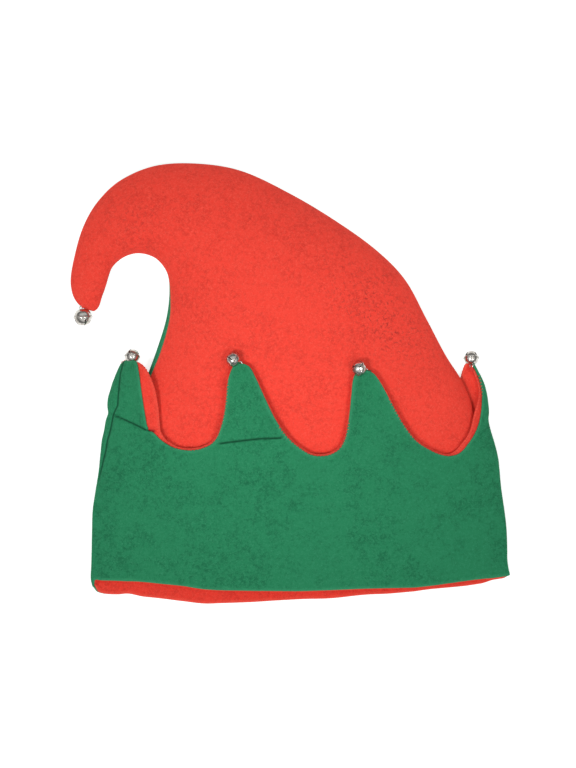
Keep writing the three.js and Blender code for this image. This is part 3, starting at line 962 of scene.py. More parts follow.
@dataclass(frozen=True)
class ThreadFinish:
    """Twisted sewing thread."""

    name: str
    base: Colour
    dark: Colour

    def material(self) -> bpy.types.Material:
        """Build the thread's material."""
        graph = Graph(self.name)
        place = graph.place()
        twist = graph.noise(place, 3200.0, 2.0, 0.6).step(0.35, 0.65)
        colour = graph.tinted(rgba(self.dark), rgba(self.base), twist)
        bump = graph.bump(0.5, 0.0002, twist)
        roughness = 0.6 + twist * 0.2
        varying = {"Base Color": colour, "Roughness": roughness, "Normal": bump}
        return graph.finish({"Specular IOR Level": 0.25}, varying)


RED_FELT = FeltFinish(
    name="felt_red_soft",
    base=(0.9, 0.057, 0.036),
    light=(0.95, 0.145, 0.095),
    dark=(0.72, 0.041, 0.027),
    fleck_and_shade=(0.36, 0.028, 0.024),
    cloud_strength=0.12,
    fleck_strength=0.3,
    patches=(
        DarkFleckPatch((52.0, 204.0), 44.0, 0.75),
        DarkFleckPatch((78.0, 178.0), 40.0, 0.5),
        DarkFleckPatch((28.0, 232.0), 40.0, 0.3),
        DarkFleckPatch((-118.0, 262.0), 34.0, 0.5),
    ),
)
LINING_FELT = FeltFinish(
    name="felt_red_lining",
    base=(0.88, 0.052, 0.033),
    light=(0.95, 0.135, 0.09),
    dark=(0.68, 0.036, 0.024),
    fleck_and_shade=(0.34, 0.026, 0.022),
    cloud_strength=0.12,
    fleck_strength=0.2,
)
GREEN_FELT = FeltFinish(
    name="felt_green_soft",
    base=(0.018, 0.215, 0.092),
    light=(0.055, 0.33, 0.165),
    dark=(0.0085, 0.13, 0.056),
    fleck_and_shade=(0.006, 0.075, 0.035),
    cloud_strength=0.16,
    fleck_strength=0.2,
)
NICKEL = NickelFinish()
GREEN_THREAD = ThreadFinish("thread_green", (0.02, 0.16, 0.075), (0.006, 0.05, 0.025))
RED_THREAD = ThreadFinish("thread_red", (0.92, 0.075, 0.05), (0.7, 0.04, 0.028))


def dress(thing: bpy.types.Object, finish: bpy.types.Material) -> bpy.types.Object:
    """Give a piece its only finish."""
    thing.data.materials.clear()
    thing.data.materials.append(finish)
    return thing


# Stitches


@dataclass(frozen=True)
class StitchPath:
    """The line that a row of stitches follows.

    Points and directions are in the drawing, one a line. Rises are the stitches' heights as
    shares of the full height, and breaks are the numbers of the points that the row stops at.
    """

    points: Points
    across: Points
    up: Points
    rises: Points
    breaks: np.ndarray

    def thing(self, name: str) -> bpy.types.Object:
        """Make the line as an object whose points carry the directions."""
        count = len(self.points)
        edges = [(k, k + 1) for k in range(count - 1) if not self.breaks[k]]
        mesh = bpy.data.meshes.new(name)
        mesh.from_pydata(framed(self.points).tolist(), edges, [])
        for key, values in (("across", self.across), ("up", self.up)):
            attribute = mesh.attributes.new(key, "FLOAT_VECTOR", "POINT")
            attribute.data.foreach_set("vector", np.asarray(values, np.float32).ravel())
        rises = mesh.attributes.new("rise", "FLOAT", "POINT")
        rises.data.foreach_set("value", np.asarray(self.rises, np.float32))
        return place_object(name, mesh)


@dataclass(frozen=True)
class WhipStitches:
    """A row of thread loops over a felt edge, set along its path by Geometry Nodes."""

    spacing: float = 2.3
    reach: float = 1.0
    height: float = 1.85
    thread: float = 0.23
    seed: int = 12

    def sizes(self) -> dict[str, float | int]:
        """Return the tree's inputs, with lengths in metres."""
        lengths = {"Spacing": self.spacing, "Reach": self.reach, "Thread": self.thread}
        inputs: dict[str, float | int] = {key: mm * MILLIMETRE for key, mm in lengths.items()}
        inputs["Height share"] = self.height / self.reach
        inputs["Seed"] = self.seed
        return inputs

    def tree(self, finish: bpy.types.Material) -> bpy.types.NodeTree:
        """Build the tree that sets one loop of thread at each step of the path."""
        made = bpy.data.node_groups.new("whip_stitches", "GeometryNodeTree")
        face = made.interface
        face.new_socket("Path", in_out="INPUT", socket_type="NodeSocketGeometry")
        for key, value in self.sizes().items():
            kind = "NodeSocketInt" if isinstance(value, int) else "NodeSocketFloat"
            face.new_socket(key, in_out="INPUT", socket_type=kind)
        face.new_socket("Stitches", in_out="OUTPUT", socket_type="NodeSocketGeometry")
        tree = Tree(made)
        source = made.nodes.new("NodeGroupInput")
        given = {socket.name: Socket(tree, socket) for socket in source.outputs if socket.name}
        line = tree.node("GeometryNodeMeshToCurve", {}, {"Mesh": given["Path"]})
        resampled = {"Curve": line, "Length": given["Spacing"]}
        steps = tree.node("GeometryNodeResampleCurve", {"mode": "LENGTH"}, resampled)
        loops = {
            "Points": steps, "Instance": self.loop(tree, given),
            "Rotation": self.turn(tree, given), "Scale": self.scale(tree),
        }
        placed = tree.node("GeometryNodeInstanceOnPoints", {}, loops)
        real = tree.node("GeometryNodeRealizeInstances", {}, {"Geometry": placed})
        soft = tree.node("GeometryNodeSetShadeSmooth", {}, {0: real})
        done = tree.node("GeometryNodeSetMaterial", {}, {"Geometry": soft, "Material": finish})
        tree.end("NodeGroupOutput", "Stitches", done)
        return made

    def loop(self, tree: Tree, given: dict[str, Socket]) -> Socket:
        """Add one upright loop of thread."""
        settings = {"mode": "RADIUS"}
        circle = "GeometryNodeCurvePrimitiveCircle"
        ring = tree.node(circle, settings, {"Resolution": 10, "Radius": given["Reach"]})
        tall = tree.node("ShaderNodeCombineXYZ", {}, {0: 1.0, 1: given["Height share"], 2: 1.0})
        upright = {"Geometry": ring, "Rotation": (QUARTER, 0.0, 0.0), "Scale": tall}
        ring = tree.node("GeometryNodeTransform", {}, upright)
        section = tree.node(circle, settings, {"Resolution": 5, "Radius": given["Thread"]})
        return tree.node("GeometryNodeCurveToMesh", {}, {"Curve": ring, "Profile Curve": section})

    def turn(self, tree: Tree, given: dict[str, Socket]) -> Socket:
        """Add the turn of each loop: across the edge, slanted, with a little unevenness."""
        ways = [
            tree.node("GeometryNodeInputNamedAttribute", {"data_type": "FLOAT_VECTOR"}, {"Name": key})
            for key in ("up", "across")
        ]
        square = tree.node(
            "FunctionNodeAxesToRotation",
            {"primary_axis": "Z", "secondary_axis": "X"},
            {0: ways[0], 1: ways[1]},
        )
        uneven = tree.node(
            "FunctionNodeRandomValue",
            {"data_type": "FLOAT_VECTOR"},
            {0: (-0.1, -0.12, 0.3), 1: (0.1, 0.12, 0.62), "Seed": given["Seed"]},
        )
        slant = tree.node("FunctionNodeEulerToRotation", {}, {0: uneven})
        return tree.node(
            "FunctionNodeRotateRotation", {"rotation_space": "LOCAL"}, {0: square, 1: slant}
        )

    def scale(self, tree: Tree) -> Socket:
        """Add the scale of each loop, which is lower where it holds one felt."""
        rise = tree.node("GeometryNodeInputNamedAttribute", {"data_type": "FLOAT"}, {"Name": "rise"})
        return tree.node("ShaderNodeCombineXYZ", {}, {0: 1.0, 1: 1.0, 2: rise})

    def sew(self, name: str, path: StitchPath, finish: bpy.types.Material) -> bpy.types.Object:
        """Set the stitches along a path.

        Args:
            name: The piece's name.
            path: The line that they follow.
            finish: The thread's material.

        Returns:
            The stitches as one plain mesh.
        """
        guide = path.thing(f"{name}_path")
        modifier = guide.modifiers.new("whip stitches", "NODES")
        modifier.node_group = self.tree(finish)
        values = self.sizes()
        for item in modifier.node_group.interface.items_tree:
            if item.in_out == "INPUT" and item.name in values:
                modifier[item.identifier] = values[item.name]
        graph = bpy.context.evaluated_depsgraph_get()
        mesh = bpy.data.meshes.new_from_object(guide.evaluated_get(graph))
        guide.modifiers.clear()
        bpy.data.objects.remove(guide)
        mesh.name = name
        log.info("%s set, %d faces", name, len(mesh.polygons))
        return place_object(name, mesh)


# Felt pieces


@dataclass(frozen=True)
class Cuff:
    """The pointed cuff: a green outside and a red lining, each in a front and a back half."""

    shape: HatShape
    spread: float = 95.0
    spacing: float = 1.45
    edge_step: float = 0.9
    back_lining_show: float = 0.5
    crease_depth: float = 1.9
    crease_width: float = 0.6
    seam_depth: float = 1.2
    seam_width: float = 0.75
    sewn_show: float = 0.5
    sewn_from: float = -0.765
    sewn_in: float = 0.1
    curl: float = 2.1
    curl_reach: float = 5.0
    curl_from: float = 0.64
    curl_to: float = 0.93
    lined_reach: float = 1.6
    single_rise: float = 0.55
    hem_end: float = 1.6
    side_clear: float = 0.05
    crease_rows: tuple[float, ...] = (-1.4, -0.9, -0.45, 0.0, 0.45, 0.9, 1.4)

    def seam_ring(self, y: Points) -> Points:
        """Give the ring angle of the left seam at heights above the mouth."""
        half = (self.shape.cuff_side("right", y) - self.shape.cuff_side("left", y)) / 2
        roll = SIDE_ROLL.read("roll", "up", y / self.shape.tip_height)
        return np.arcsin(-1 + roll / half)

    def edge_places(self, table: Table) -> Points:
        """Trace a pointed edge in the drawing, from left to right."""
        raw = table.trace("across", "up", 12 * len(table.rows))
        raw = raw * (self.shape.half_mouth, self.shape.tip_height)
        return self.evened(raw)

    def evened(self, line: Points) -> Points:
        """Space a line's points evenly."""
        runs = np.hypot(*np.diff(line, axis=0).T)
        reach = np.concatenate([[0], np.cumsum(runs)])
        count = max(int(reach[-1] / self.edge_step), 2)
        at = np.linspace(0, reach[-1], count)
        return joined(*(np.interp(at, reach, line[:, k]) for k in (0, 1)))

    def shifted(self, line: Points, show: Points | float) -> Points:
        """Move an edge away from the cuff by a distance, or by one for each point."""
        run = unit(np.gradient(line, axis=0))
        return line + joined(-run[:, 1], run[:, 0]) * np.reshape(show, (-1, 1))

    def lining_edge(self) -> Points:
        """Trace the edge of the front lining, which shows past the green edge."""
        green = self.edge_places(GREEN_EDGE)
        show = LINING_SHOW.read("show", "across", green[:, 0] / self.shape.half_mouth)
        green = self.shifted(green, show)
        left = self.edge_places(RED_EDGE_LEFT)
        right = self.edge_places(RED_EDGE_RIGHT)
        middle = green[(green[:, 0] > left[-1, 0] + 2) & (green[:, 0] < right[0, 0] - 2)]
        return self.evened(np.concatenate([left, middle, right]))

    def to_flat(self, line: Points, back: bool) -> Points:
        """Unroll places of the drawing onto the flat of one half."""
        ring = np.arcsin(self.shape.cuff_at(line[:, 0], line[:, 1]))
        ring = math.pi - ring if back else ring
        return joined(ring * self.spread, line[:, 1])

    def stitch_path(self, edge: Points, back: bool) -> StitchPath:
        """Lead a row of stitches along a lined edge.

        Args:
            edge: The lining's edge from left to right, in the drawing.
            back: Whether it is the back half's.

        Returns:
            The path at the middle of the felts.
        """
        shape = self.shape
        flat = self.to_flat(edge, back)
        ring, y = flat[:, 0] / self.spread, flat[:, 1]
        seam = self.seam_ring(y)
        start, end = seam + 0.02, QUARTER - 0.06
        if back:
            start, end = QUARTER + self.side_clear, TURN + seam
        held = (ring > start) & (ring < end)
        outer = BACK_EDGE if back else GREEN_EDGE
        beyond = np.abs(distance_to_line(edge, self.edge_places(outer))[0])
        right_of_tip = edge[:, 0] > self.sewn_from * shape.half_mouth
        held &= back | ((beyond > self.sewn_show) & right_of_tip)
        ring, y, beyond = ring[held], y[held], beyond[held]
        points = self.pressed_surface(ring, y)
        nudge = 1e-3
        by_ring = self.pressed_surface(ring + nudge, y) - points
        by_height = self.pressed_surface(ring, y + nudge * self.spread) - points
        up = unit(np.cross(by_ring, by_height))
        along = unit(np.gradient(points, axis=0))
        across = unit(np.cross(up, along)) * (-1 if back else 1)
        single = smooth((beyond - self.lined_reach) / self.lined_reach)
        depth = mix(shape.felt + shape.sewn_gap / 2, shape.felt * 1.5 + shape.sewn_gap, single)
        breaks = np.diff(np.flatnonzero(held), append=10**6) > 1
        points = points - up * depth[:, None] - across * self.sewn_in
        return StitchPath(points, across, up, mix(1.0, self.single_rise, single), breaks)

    def front_outline(self, edge: Points) -> Points:
        """Outline a front half on the flat, from its left end along the hem.

        Args:
            edge: The pointed edge from left to right, in the drawing.

        Returns:
            The closed outline, counterclockwise.
        """
        shape = self.shape
        start = float(self.seam_ring(np.array([self.hem_end]))[0])
        ring = np.linspace(start, QUARTER, 260)
        hem = joined(ring * self.spread, shape.hem(np.sin(ring), "front"))
        top = self.to_flat(edge, False)
        top = top[top[:, 0] > self.seam_ring(top[:, 1]) * self.spread + self.edge_step]
        top = top[top[:, 0] < (QUARTER - self.side_clear) * self.spread]
        right_y = np.arange(hem[-1, 1] + self.edge_step, top[-1, 1], self.edge_step)
        right = joined(np.full(len(right_y), QUARTER * self.spread), right_y)
        left_y = np.arange(top[0, 1], hem[0, 1] + self.edge_step / 2, -self.edge_step)
        left = joined(self.seam_ring(left_y) * self.spread, left_y)
        return np.concatenate([hem, right, top[::-1], left])

    def back_outline(self, edge: Points) -> Points:
        """Outline a back half on the flat, which ends on the front at the rolled left seam."""
        shape = self.shape
        end = TURN + float(self.seam_ring(np.array([self.hem_end]))[0])
        ring = np.linspace(QUARTER, end, 280)
        behind = ring < 3 * QUARTER
        heights = np.where(behind, *(shape.hem(np.sin(ring), half) for half in ("back", "front")))
        hem = joined(ring * self.spread, heights)
        top = self.to_flat(edge, True)
        top = top[top[:, 0] > (QUARTER + self.side_clear) * self.spread]
        seam_y = np.arange(hem[-1, 1] + self.edge_step, top[0, 1], self.edge_step)
        seam = joined((TURN + self.seam_ring(seam_y)) * self.spread, seam_y)
        side_y = np.arange(top[-1, 1], hem[0, 1] + self.edge_step / 2, -self.edge_step)
        side = joined(np.full(len(side_y), QUARTER * self.spread), side_y)
        return np.concatenate([hem, seam, top, side])

    def crease_lines(self) -> list[Points]:
        """Return the creases as lines in the drawing."""
        return [
            np.array(crease) * (self.shape.half_mouth, self.shape.tip_height) for crease in CREASES
        ]

    def crease_share(self, x: Points, y: Points) -> Points:
        """Give how deep places lie in a crease, from 0 to 1."""
        deepest = np.zeros(len(x))
        for line in self.crease_lines():
            away, along = distance_to_line(joined(x, y), line)
            ends = smooth(np.minimum(along, 1 - along) / 0.1)
            deepest = np.maximum(deepest, np.exp(-((away / self.crease_width) ** 2)) * ends)
        return deepest

    def seam_share(self, ring: Points, points: Points) -> Points:
        """Give how deep places lie in the groove of the left seam, from 0 to 1."""
        y = points[:, 1]
        roll = SIDE_ROLL.read("roll", "up", y / self.shape.tip_height)
        seam_x = self.shape.cuff_side("left", y) + roll
        shown = smooth((y / self.shape.tip_height - 0.4) / 0.16) * (np.cos(ring) > 0)
        return np.exp(-(((points[:, 0] - seam_x) / self.seam_width) ** 2)) * shown

    def pressed_surface(self, ring: Points, y: Points) -> Points:
        """Give the outside of the cuff with its creases and its seam's groove."""
        points = self.shape.cuff_surface(ring, y)
        creased = self.crease_share(points[:, 0], points[:, 1]) * (np.cos(ring) > 0)
        points[:, 2] -= self.crease_depth * creased + self.seam_depth * self.seam_share(ring, points)
        points[:, 2] += self.curl_lift(ring, points)
        return points

    def curl_lift(self, ring: Points, points: Points) -> Points:
        """Give how far the slopes of the front points curl up off the crown."""
        share = points[:, 1] / self.shape.tip_height
        rise = smooth((share - self.curl_from) / 0.1) * (1 - smooth((share - self.curl_to) / 0.08))
        away = np.full(len(points), 1e3)
        high = (share > self.curl_from) & (np.cos(ring) > 0)
        if high.any():
            off, _ = distance_to_line(points[high, :2], self.edge_places(GREEN_EDGE))
            away[high] = np.abs(off)
        inside_sides = smooth((0.95 - np.abs(np.sin(ring))) / 0.1)
        return self.curl * rise * inside_sides * np.exp(-((away / self.curl_reach) ** 2))

    def crease_places(self) -> Points:
        """Return more places on the flat along the creases."""
        places = []
        for line in self.crease_lines():
            at, known = np.linspace(0, len(line) - 1, 60), np.arange(len(line))
            dense = joined(*(np.interp(at, known, line[:, k]) for k in (0, 1)))
            dense = self.evened(dense)
            for off in self.crease_rows:
                places.append(self.to_flat(self.shifted(dense, off), False))
        return np.concatenate(places)

    def piece(
        self, name: str, outline: Points, surface: Callable[[Points, Points], Points],
        depth: float, extra: Points,
    ) -> bpy.types.Object:
        """Cut and thicken one piece of the cuff.

        Args:
            name: The piece's name.
            outline: Its closed outline on the flat.
            surface: The form that it follows.
            depth: How far it lies inside that form.
            extra: More places that need points.

        Returns:
            The piece.
        """
        skin = cut_skin(surface, outline, self.spacing, extra, self.spread)
        to_rim, _ = distance_to_line(skin.flat, np.concatenate([outline, outline[:1]]))
        ring = skin.flat[:, 0] / self.spread
        # The crease mark carries painted shade in the creases and the seam's groove.
        groove_shade = self.crease_share(skin.points[:, 0], skin.points[:, 1]) * (np.cos(ring) > 0)
        groove_shade = np.maximum(groove_shade, self.seam_share(ring, skin.points) * 0.9)
        # The rim mark carries a painted highlight along the cut edges.
        marks = {"rim": np.exp(-((np.abs(to_rim) / 0.9) ** 2)), "crease": groove_shade}
        return FeltSheet(name, self.shape.felt).build(skin, depth, marks)

    def build(self, finishes: "Finishes") -> list[bpy.types.Object]:
        """Make and dress the four pieces."""
        shape = self.shape
        none = np.zeros((0, 2))
        green_edge = self.edge_places(GREEN_EDGE)
        back_edge = self.edge_places(BACK_EDGE)
        under = shape.felt + shape.sewn_gap
        front = self.piece(
            "cuff_front_felt", self.front_outline(green_edge), self.pressed_surface, 0.0,
            self.crease_places(),
        )
        back = self.piece(
            "cuff_back_felt", self.back_outline(back_edge), self.pressed_surface, 0.0, none
        )
        lining_front = self.piece(
            "lining_front_felt", self.front_outline(self.lining_edge()), self.pressed_surface,
            under, none,
        )
        lining_back = self.piece(
            "lining_back_felt",
            self.back_outline(self.shifted(back_edge, self.back_lining_show)),
            self.pressed_surface, under, none,
        )
        for thing in (front, back):
            dress(thing, finishes.green)
        for thing in (lining_front, lining_back):
            dress(thing, finishes.lining)
        return [front, back, lining_front, lining_back]

    def sew(self, finishes: "Finishes") -> dict[str, bpy.types.Object]:
        """Sew the lining's pointed edges and return each row under its lining's name."""
        rows = {}
        back_edge = self.shifted(self.edge_places(BACK_EDGE), self.back_lining_show)
        plans = (
            ("lining_front", self.lining_edge(), WhipStitches()),
            ("lining_back", back_edge, WhipStitches(height=1.45, thread=0.2)),
        )
        for name, edge, stitches in plans:
            path = self.stitch_path(edge, name == "lining_back")
            row = stitches.sew(f"{name}_stitches", path, finishes.red_thread)
            rows[f"{name}_felt"] = dress(row, finishes.red_thread)
        return rows


@dataclass(frozen=True)
class Crown:
    """The hooked crown: a red front and a green back, sewn along the whole edge."""

    shape: HatShape
    tents: BellTents
    stations: int = 230
    columns: int = 92
    crowding: float = 1.6

    def seam_ring(self, place: Points) -> Points:
        """Give the ring angle of the inner seam at section numbers."""
        x = CROWN_SECTIONS.at_row("outer_x", place) - CROWN_SECTIONS.at_row("inner_x", place)
        y = CROWN_SECTIONS.at_row("outer_y", place) - CROWN_SECTIONS.at_row("inner_y", place)
        half = np.hypot(x * self.shape.half_mouth, y * self.shape.hat_length) / 2
        return np.arcsin(-1 + np.maximum(CROWN_SECTIONS.at_row("roll", place), 0) / half)

    def grid(self, back: bool) -> tuple[Points, Points]:
        """Lay a grid of section numbers and ring angles over one half."""
        last = len(CROWN_SECTIONS.rows) - 1
        share = np.linspace(0, 1, self.stations)
        place = last * (1 - (1 - share) ** self.crowding)
        seam = self.seam_ring(place)
        across = np.linspace(0, 1, self.columns)
        starts, ends = (np.full_like(seam, QUARTER), seam + TURN) if back else (seam, QUARTER)
        ring = starts[:, None] + (ends - starts)[:, None] * across
        return np.repeat(place[:, None], self.columns, axis=1), ring

    def surface(self, place: Points, ring: Points) -> Points:
        """Give the crown's outside."""
        return self.shape.crown_surface(place, ring, self.tents)

    def piece(self, name: str, back: bool) -> bpy.types.Object:
        """Make one half."""
        skin = grid_skin(self.surface, self.grid(back))
        number = np.arange(len(skin.points))
        edge = np.minimum(number % self.columns, self.columns - 1 - number % self.columns)
        at_end = number >= (self.stations - 1) * self.columns
        skin = replace(skin, level=(edge == 0) | at_end)
        # The rim mark carries a painted highlight along the crown's cut edges.
        rim = np.exp(-((edge / 1.2) ** 2))
        return FeltSheet(name, self.shape.felt, rim_fullness=0.25).build(skin, 0.0, {"rim": rim})

    def build(self, finishes: "Finishes") -> list[bpy.types.Object]:
        """Make and dress both halves."""
        front = dress(self.piece("crown_front_felt", False), finishes.red)
        back = dress(self.piece("crown_back_felt", True), finishes.green)
        return [front, back]


# Bells


@dataclass(frozen=True)
class BellSeat:
    """Where a packed bell sits: its centre in the drawing and the way to its loop."""

    name: str
    centre: Points
    to_loop: Points
    radius: float

    @classmethod
    def of_node(cls, name: str, node: bpy.types.Object, radius: float) -> "BellSeat":
        """Read a bell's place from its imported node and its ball's.

        Args:
            name: The bell's node.
            node: That node's object.
            radius: The bell's radius, in millimetres.

        Returns:
            The bell's seat.
        """
        low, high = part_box(f"{name}_ball")
        ball = drawn(np.array((low + high) / 2))
        drop = radius * BOWL_SHARE - BELL_WALL - BALL_RADIUS - BALL_GAP
        centre = ball + (0, 0, drop)
        corners = drawn(np.array([tuple(vertex.co) for vertex in node.data.vertices]))
        away = corners - centre
        reach = np.linalg.norm(away, axis=1)
        to_loop = unit(away[reach > radius * 1.25].mean(axis=0))
        return cls(name, centre + to_loop * TIED_IN, to_loop, radius)

    def turned(self, points: Points, spin: float) -> Points:
        """Move points of an upright bell, loop up, to the seat.

        Args:
            points: Points about the bell's centre, in millimetres.
            spin: Turn about the bell's own axis, in degrees.

        Returns:
            The points in the drawing.
        """
        side = unit(np.cross(self.to_loop, (0.0, 0.0, 1.0)))
        ahead = np.cross(self.to_loop, side)
        angle = math.radians(spin)
        first = side * math.cos(angle) + ahead * math.sin(angle)
        second = np.cross(self.to_loop, first)
        return self.centre + points @ np.stack([first, second, self.to_loop])


@dataclass
class Parts:
    """Points, faces and a mark for each point, gathered for one piece."""

    points: list[Points] = field(default_factory=list)
    faces: list[list[int]] = field(default_factory=list)
    marks: list[Points] = field(default_factory=list)
    count: int = 0

    def add(self, points: Points, faces: Sequence[Sequence[int]], marks: Any = 0.0) -> None:
        """Add a body of points and faces."""
        self.faces += [[int(corner) + self.count for corner in face] for face in faces]
        self.points.append(points)
        self.marks.append(np.broadcast_to(marks, len(points)))
        self.count += len(points)

    def all_points(self) -> Points:
        """Return the points of all bodies."""
        return np.concatenate(self.points)

    def all_marks(self) -> Points:
        """Return the marks of all bodies."""
        return np.concatenate(self.marks)


def tube(line: Points, radius: float, sides: int, closed: bool) -> tuple[Points, list[list[int]]]:
    """Make a round tube along a line.

    Args:
        line: The points that it follows.
        radius: The tube's radius.
        sides: Its number of sides.
        closed: Whether its ends meet.

    Returns:
        The tube's points and faces.
    """
    if closed:
        along = unit(np.roll(line, -1, axis=0) - np.roll(line, 1, axis=0))
    else:
        along = unit(np.gradient(line, axis=0))
    side = np.zeros_like(line)
    side[0] = unit(np.cross(along[0], (0.31, 0.17, 0.93)))
    for k in range(1, len(line)):
        side[k] = unit(side[k - 1] - along[k] * (side[k - 1] @ along[k]))
    other = np.cross(along, side)
    angles = np.linspace(0, TURN, sides, endpoint=False)
    cosines, sines = np.cos(angles)[None, :, None], np.sin(angles)[None, :, None]
    ring = side[:, None] * cosines + other[:, None] * sines
    points = (line[:, None] + ring * radius).reshape(-1, 3)
    faces = []
    for k in range(len(line) if closed else len(line) - 1):
        for j in range(sides):
            a, b = k * sides + j, k * sides + (j + 1) % sides
            m = ((k + 1) % len(line)) * sides
            faces.append([a, b, m + (j + 1) % sides, m + j])
    if not closed:
        faces.append(list(range(sides))[::-1])
        faces.append([(len(line) - 1) * sides + j for j in range(sides)])
    return points, faces


@dataclass(frozen=True)
class Bell:
    """A stamped jingle bell: a domed top with a rim and a loop, and four petals below."""

    wall: float = 0.45
    slot_width: float = 0.85
    hole_radius: float = 0.75
    hole_place: float = 70.0
    fullness: float = 2.6
    bowl_share: float = 0.955
    bowl_depth: float = 0.93
    petal_flat: float = 0.09
    flange_share: float = 1.04
    taper: float = 0.13
    sides: int = 48
    loop_radius: float = 0.27
    loop_wire: float = 0.085
    loop_place: float = 1.02

    def bowl(self, size: float, angle: Points, polar: Points) -> Points:
        """Give points of the lower half, boxy and flattened between the slots.

        Args:
            size: The lower half's radius.
            angle: Angles about the bell's axis, with the slots at each quarter turn.
            polar: Angles from the bottom.

        Returns:
            The points, one a line.
        """
        across, down = np.sin(polar), np.cos(polar)
        power = self.fullness
        full = (np.abs(across) ** power + np.abs(down) ** power) ** (-1 / power)
        dent = self.petal_flat * np.sin(2 * angle) ** 2 * across * np.clip(down * 1.6, 0, 1)
        out = size * across * full * (1 - dent) * (1 - self.taper * np.clip(down, 0, 1))
        low = -size * down * full * self.bowl_depth
        return joined(out * np.cos(angle), out * np.sin(angle), low)

    def petal(self, radius: float) -> Skin:
        """Make the outside of one petal, between two slots."""
        size = radius * self.bowl_share
        hole = math.radians(self.hole_place)
        reach = self.hole_radius / size
        inner = math.asin(min(self.slot_width * 0.95 / size, 1.0))
        polar = np.concatenate([
            np.linspace(inner, hole - reach * 0.8, 9),
            np.linspace(hole - reach * 0.7, hole + reach, 9)[:-1],
            hole + reach * np.array((0.985, 1.0, 1.04)),
            np.linspace(hole + reach * 1.15, math.radians(93), 5),
        ])
        round_hole = np.sqrt(np.maximum(reach**2 - (polar - hole) ** 2, 0)) * size
        straight = np.where(polar < hole, self.slot_width / 2, 0)
        half_gap = np.maximum(round_hole, straight)
        start = np.arcsin(np.clip(half_gap / (size * np.sin(polar)), 0, math.sin(math.pi / 4.2)))
        share = np.linspace(0, 1, 13)
        angle = start[:, None] + (QUARTER - 2 * start)[:, None] * share
        grid = (angle, np.repeat(polar[:, None], 13, axis=1))
        return grid_skin(lambda turn, down: self.bowl(size, turn, down), grid)

    def top(self, radius: float) -> tuple[Points, list[list[int]], Points]:
        """Turn the domed top with its rim, and mark its inside, the crease at its rim and the middle
        of its dome for painted shade.
        """
        rim = self.flange_share
        outline = [
            (0.93, -0.07, 0.9), (rim - 0.02, -0.09, 0.2), (rim + 0.005, -0.055, 0.0),
            (rim + 0.005, 0.055, 0.0), (rim - 0.02, 0.09, 0.1), (0.985, 0.1, 0.8),
            (0.965, 0.14, 0.4), (0.945, 0.24, 0.0),
            (0.9, 0.4, 0.0), (0.82, 0.56, 0.0), (0.68, 0.71, 0.0), (0.5, 0.82, 0.0),
            (0.3, 0.89, 0.1), (0.12, 0.92, 0.4), (0.0, 0.925, 0.6),
        ]
        wall = self.wall / radius
        inner = [(max(out - wall, 0.0), up - wall * 0.8, 1.0) for out, up, _ in outline[:5:-1]]
        profile = np.array(outline + inner)
        angles = np.linspace(0, TURN, self.sides, endpoint=False)
        out, up = profile[:, :1] * radius, profile[:, 1:2] * radius
        rounds = [out * np.cos(angles), out * np.sin(angles), np.repeat(up, self.sides, axis=1)]
        points = np.stack(rounds, axis=-1).reshape(-1, 3)
        rows = len(profile)
        number = np.arange(rows * self.sides).reshape(rows, self.sides)
        beside, below = np.roll(number, -1, axis=1), np.roll(number, -1, axis=0)
        corners = np.stack([number, beside, np.roll(below, -1, axis=1), below], axis=-1)
        return points, corners.reshape(-1, 4).tolist(), np.repeat(profile[:, 2], self.sides)

    def build(self, seat: BellSeat, spin: float, finishes: "Finishes") -> bpy.types.Object:
        """Make and dress a bell at its seat.

        Args:
            seat: Where the bell sits.
            spin: Its turn about its own axis, in degrees.
            finishes: The hat's finishes.

        Returns:
            The bell's piece.
        """
        parts = Parts()
        petal = self.petal(seat.radius)
        sheet = FeltSheet("petal", self.wall, rim_steps=3, rim_fullness=0.6)
        points, faces = sheet.body(petal, 0.0)
        count = len(petal.points)
        # The petals' inner faces and slot edges are marked for painted shade.
        hollow_shade = np.where(np.arange(len(points)) < count, 0.0, 1.0)
        for quarter in range(4):
            turn = np.array(Matrix.Rotation(quarter * QUARTER, 3, "Z"))
            parts.add(points @ turn.T, faces, hollow_shade)
        parts.add(*self.top(seat.radius))
        angles = np.linspace(0, TURN, 28, endpoint=False)
        ring = self.loop_radius * seat.radius
        loop = joined(
            ring * np.cos(angles), np.zeros(len(angles)),
            ring * np.sin(angles) * 1.05 + self.loop_place * seat.radius,
        )
        parts.add(*tube(loop, self.loop_wire * seat.radius, 10, True))
        thing = mesh_object(f"{seat.name}_metal", seat.turned(parts.all_points(), spin), parts.faces)
        add_mark(thing, "hollow_shade", parts.all_marks())
        merge_close(thing)
        return dress(thing, finishes.nickel)


def merge_close(thing: bpy.types.Object) -> None:
    """Merge a piece's doubled points and drop the faces that vanish."""
    body = bmesh.new()
    body.from_mesh(thing.data)
    bmesh.ops.remove_doubles(body, verts=body.verts, dist=1e-7)
    bmesh.ops.dissolve_degenerate(body, edges=body.edges, dist=1e-8)
    bmesh.ops.recalc_face_normals(body, faces=body.faces)
    body.to_mesh(thing.data)
    body.free()


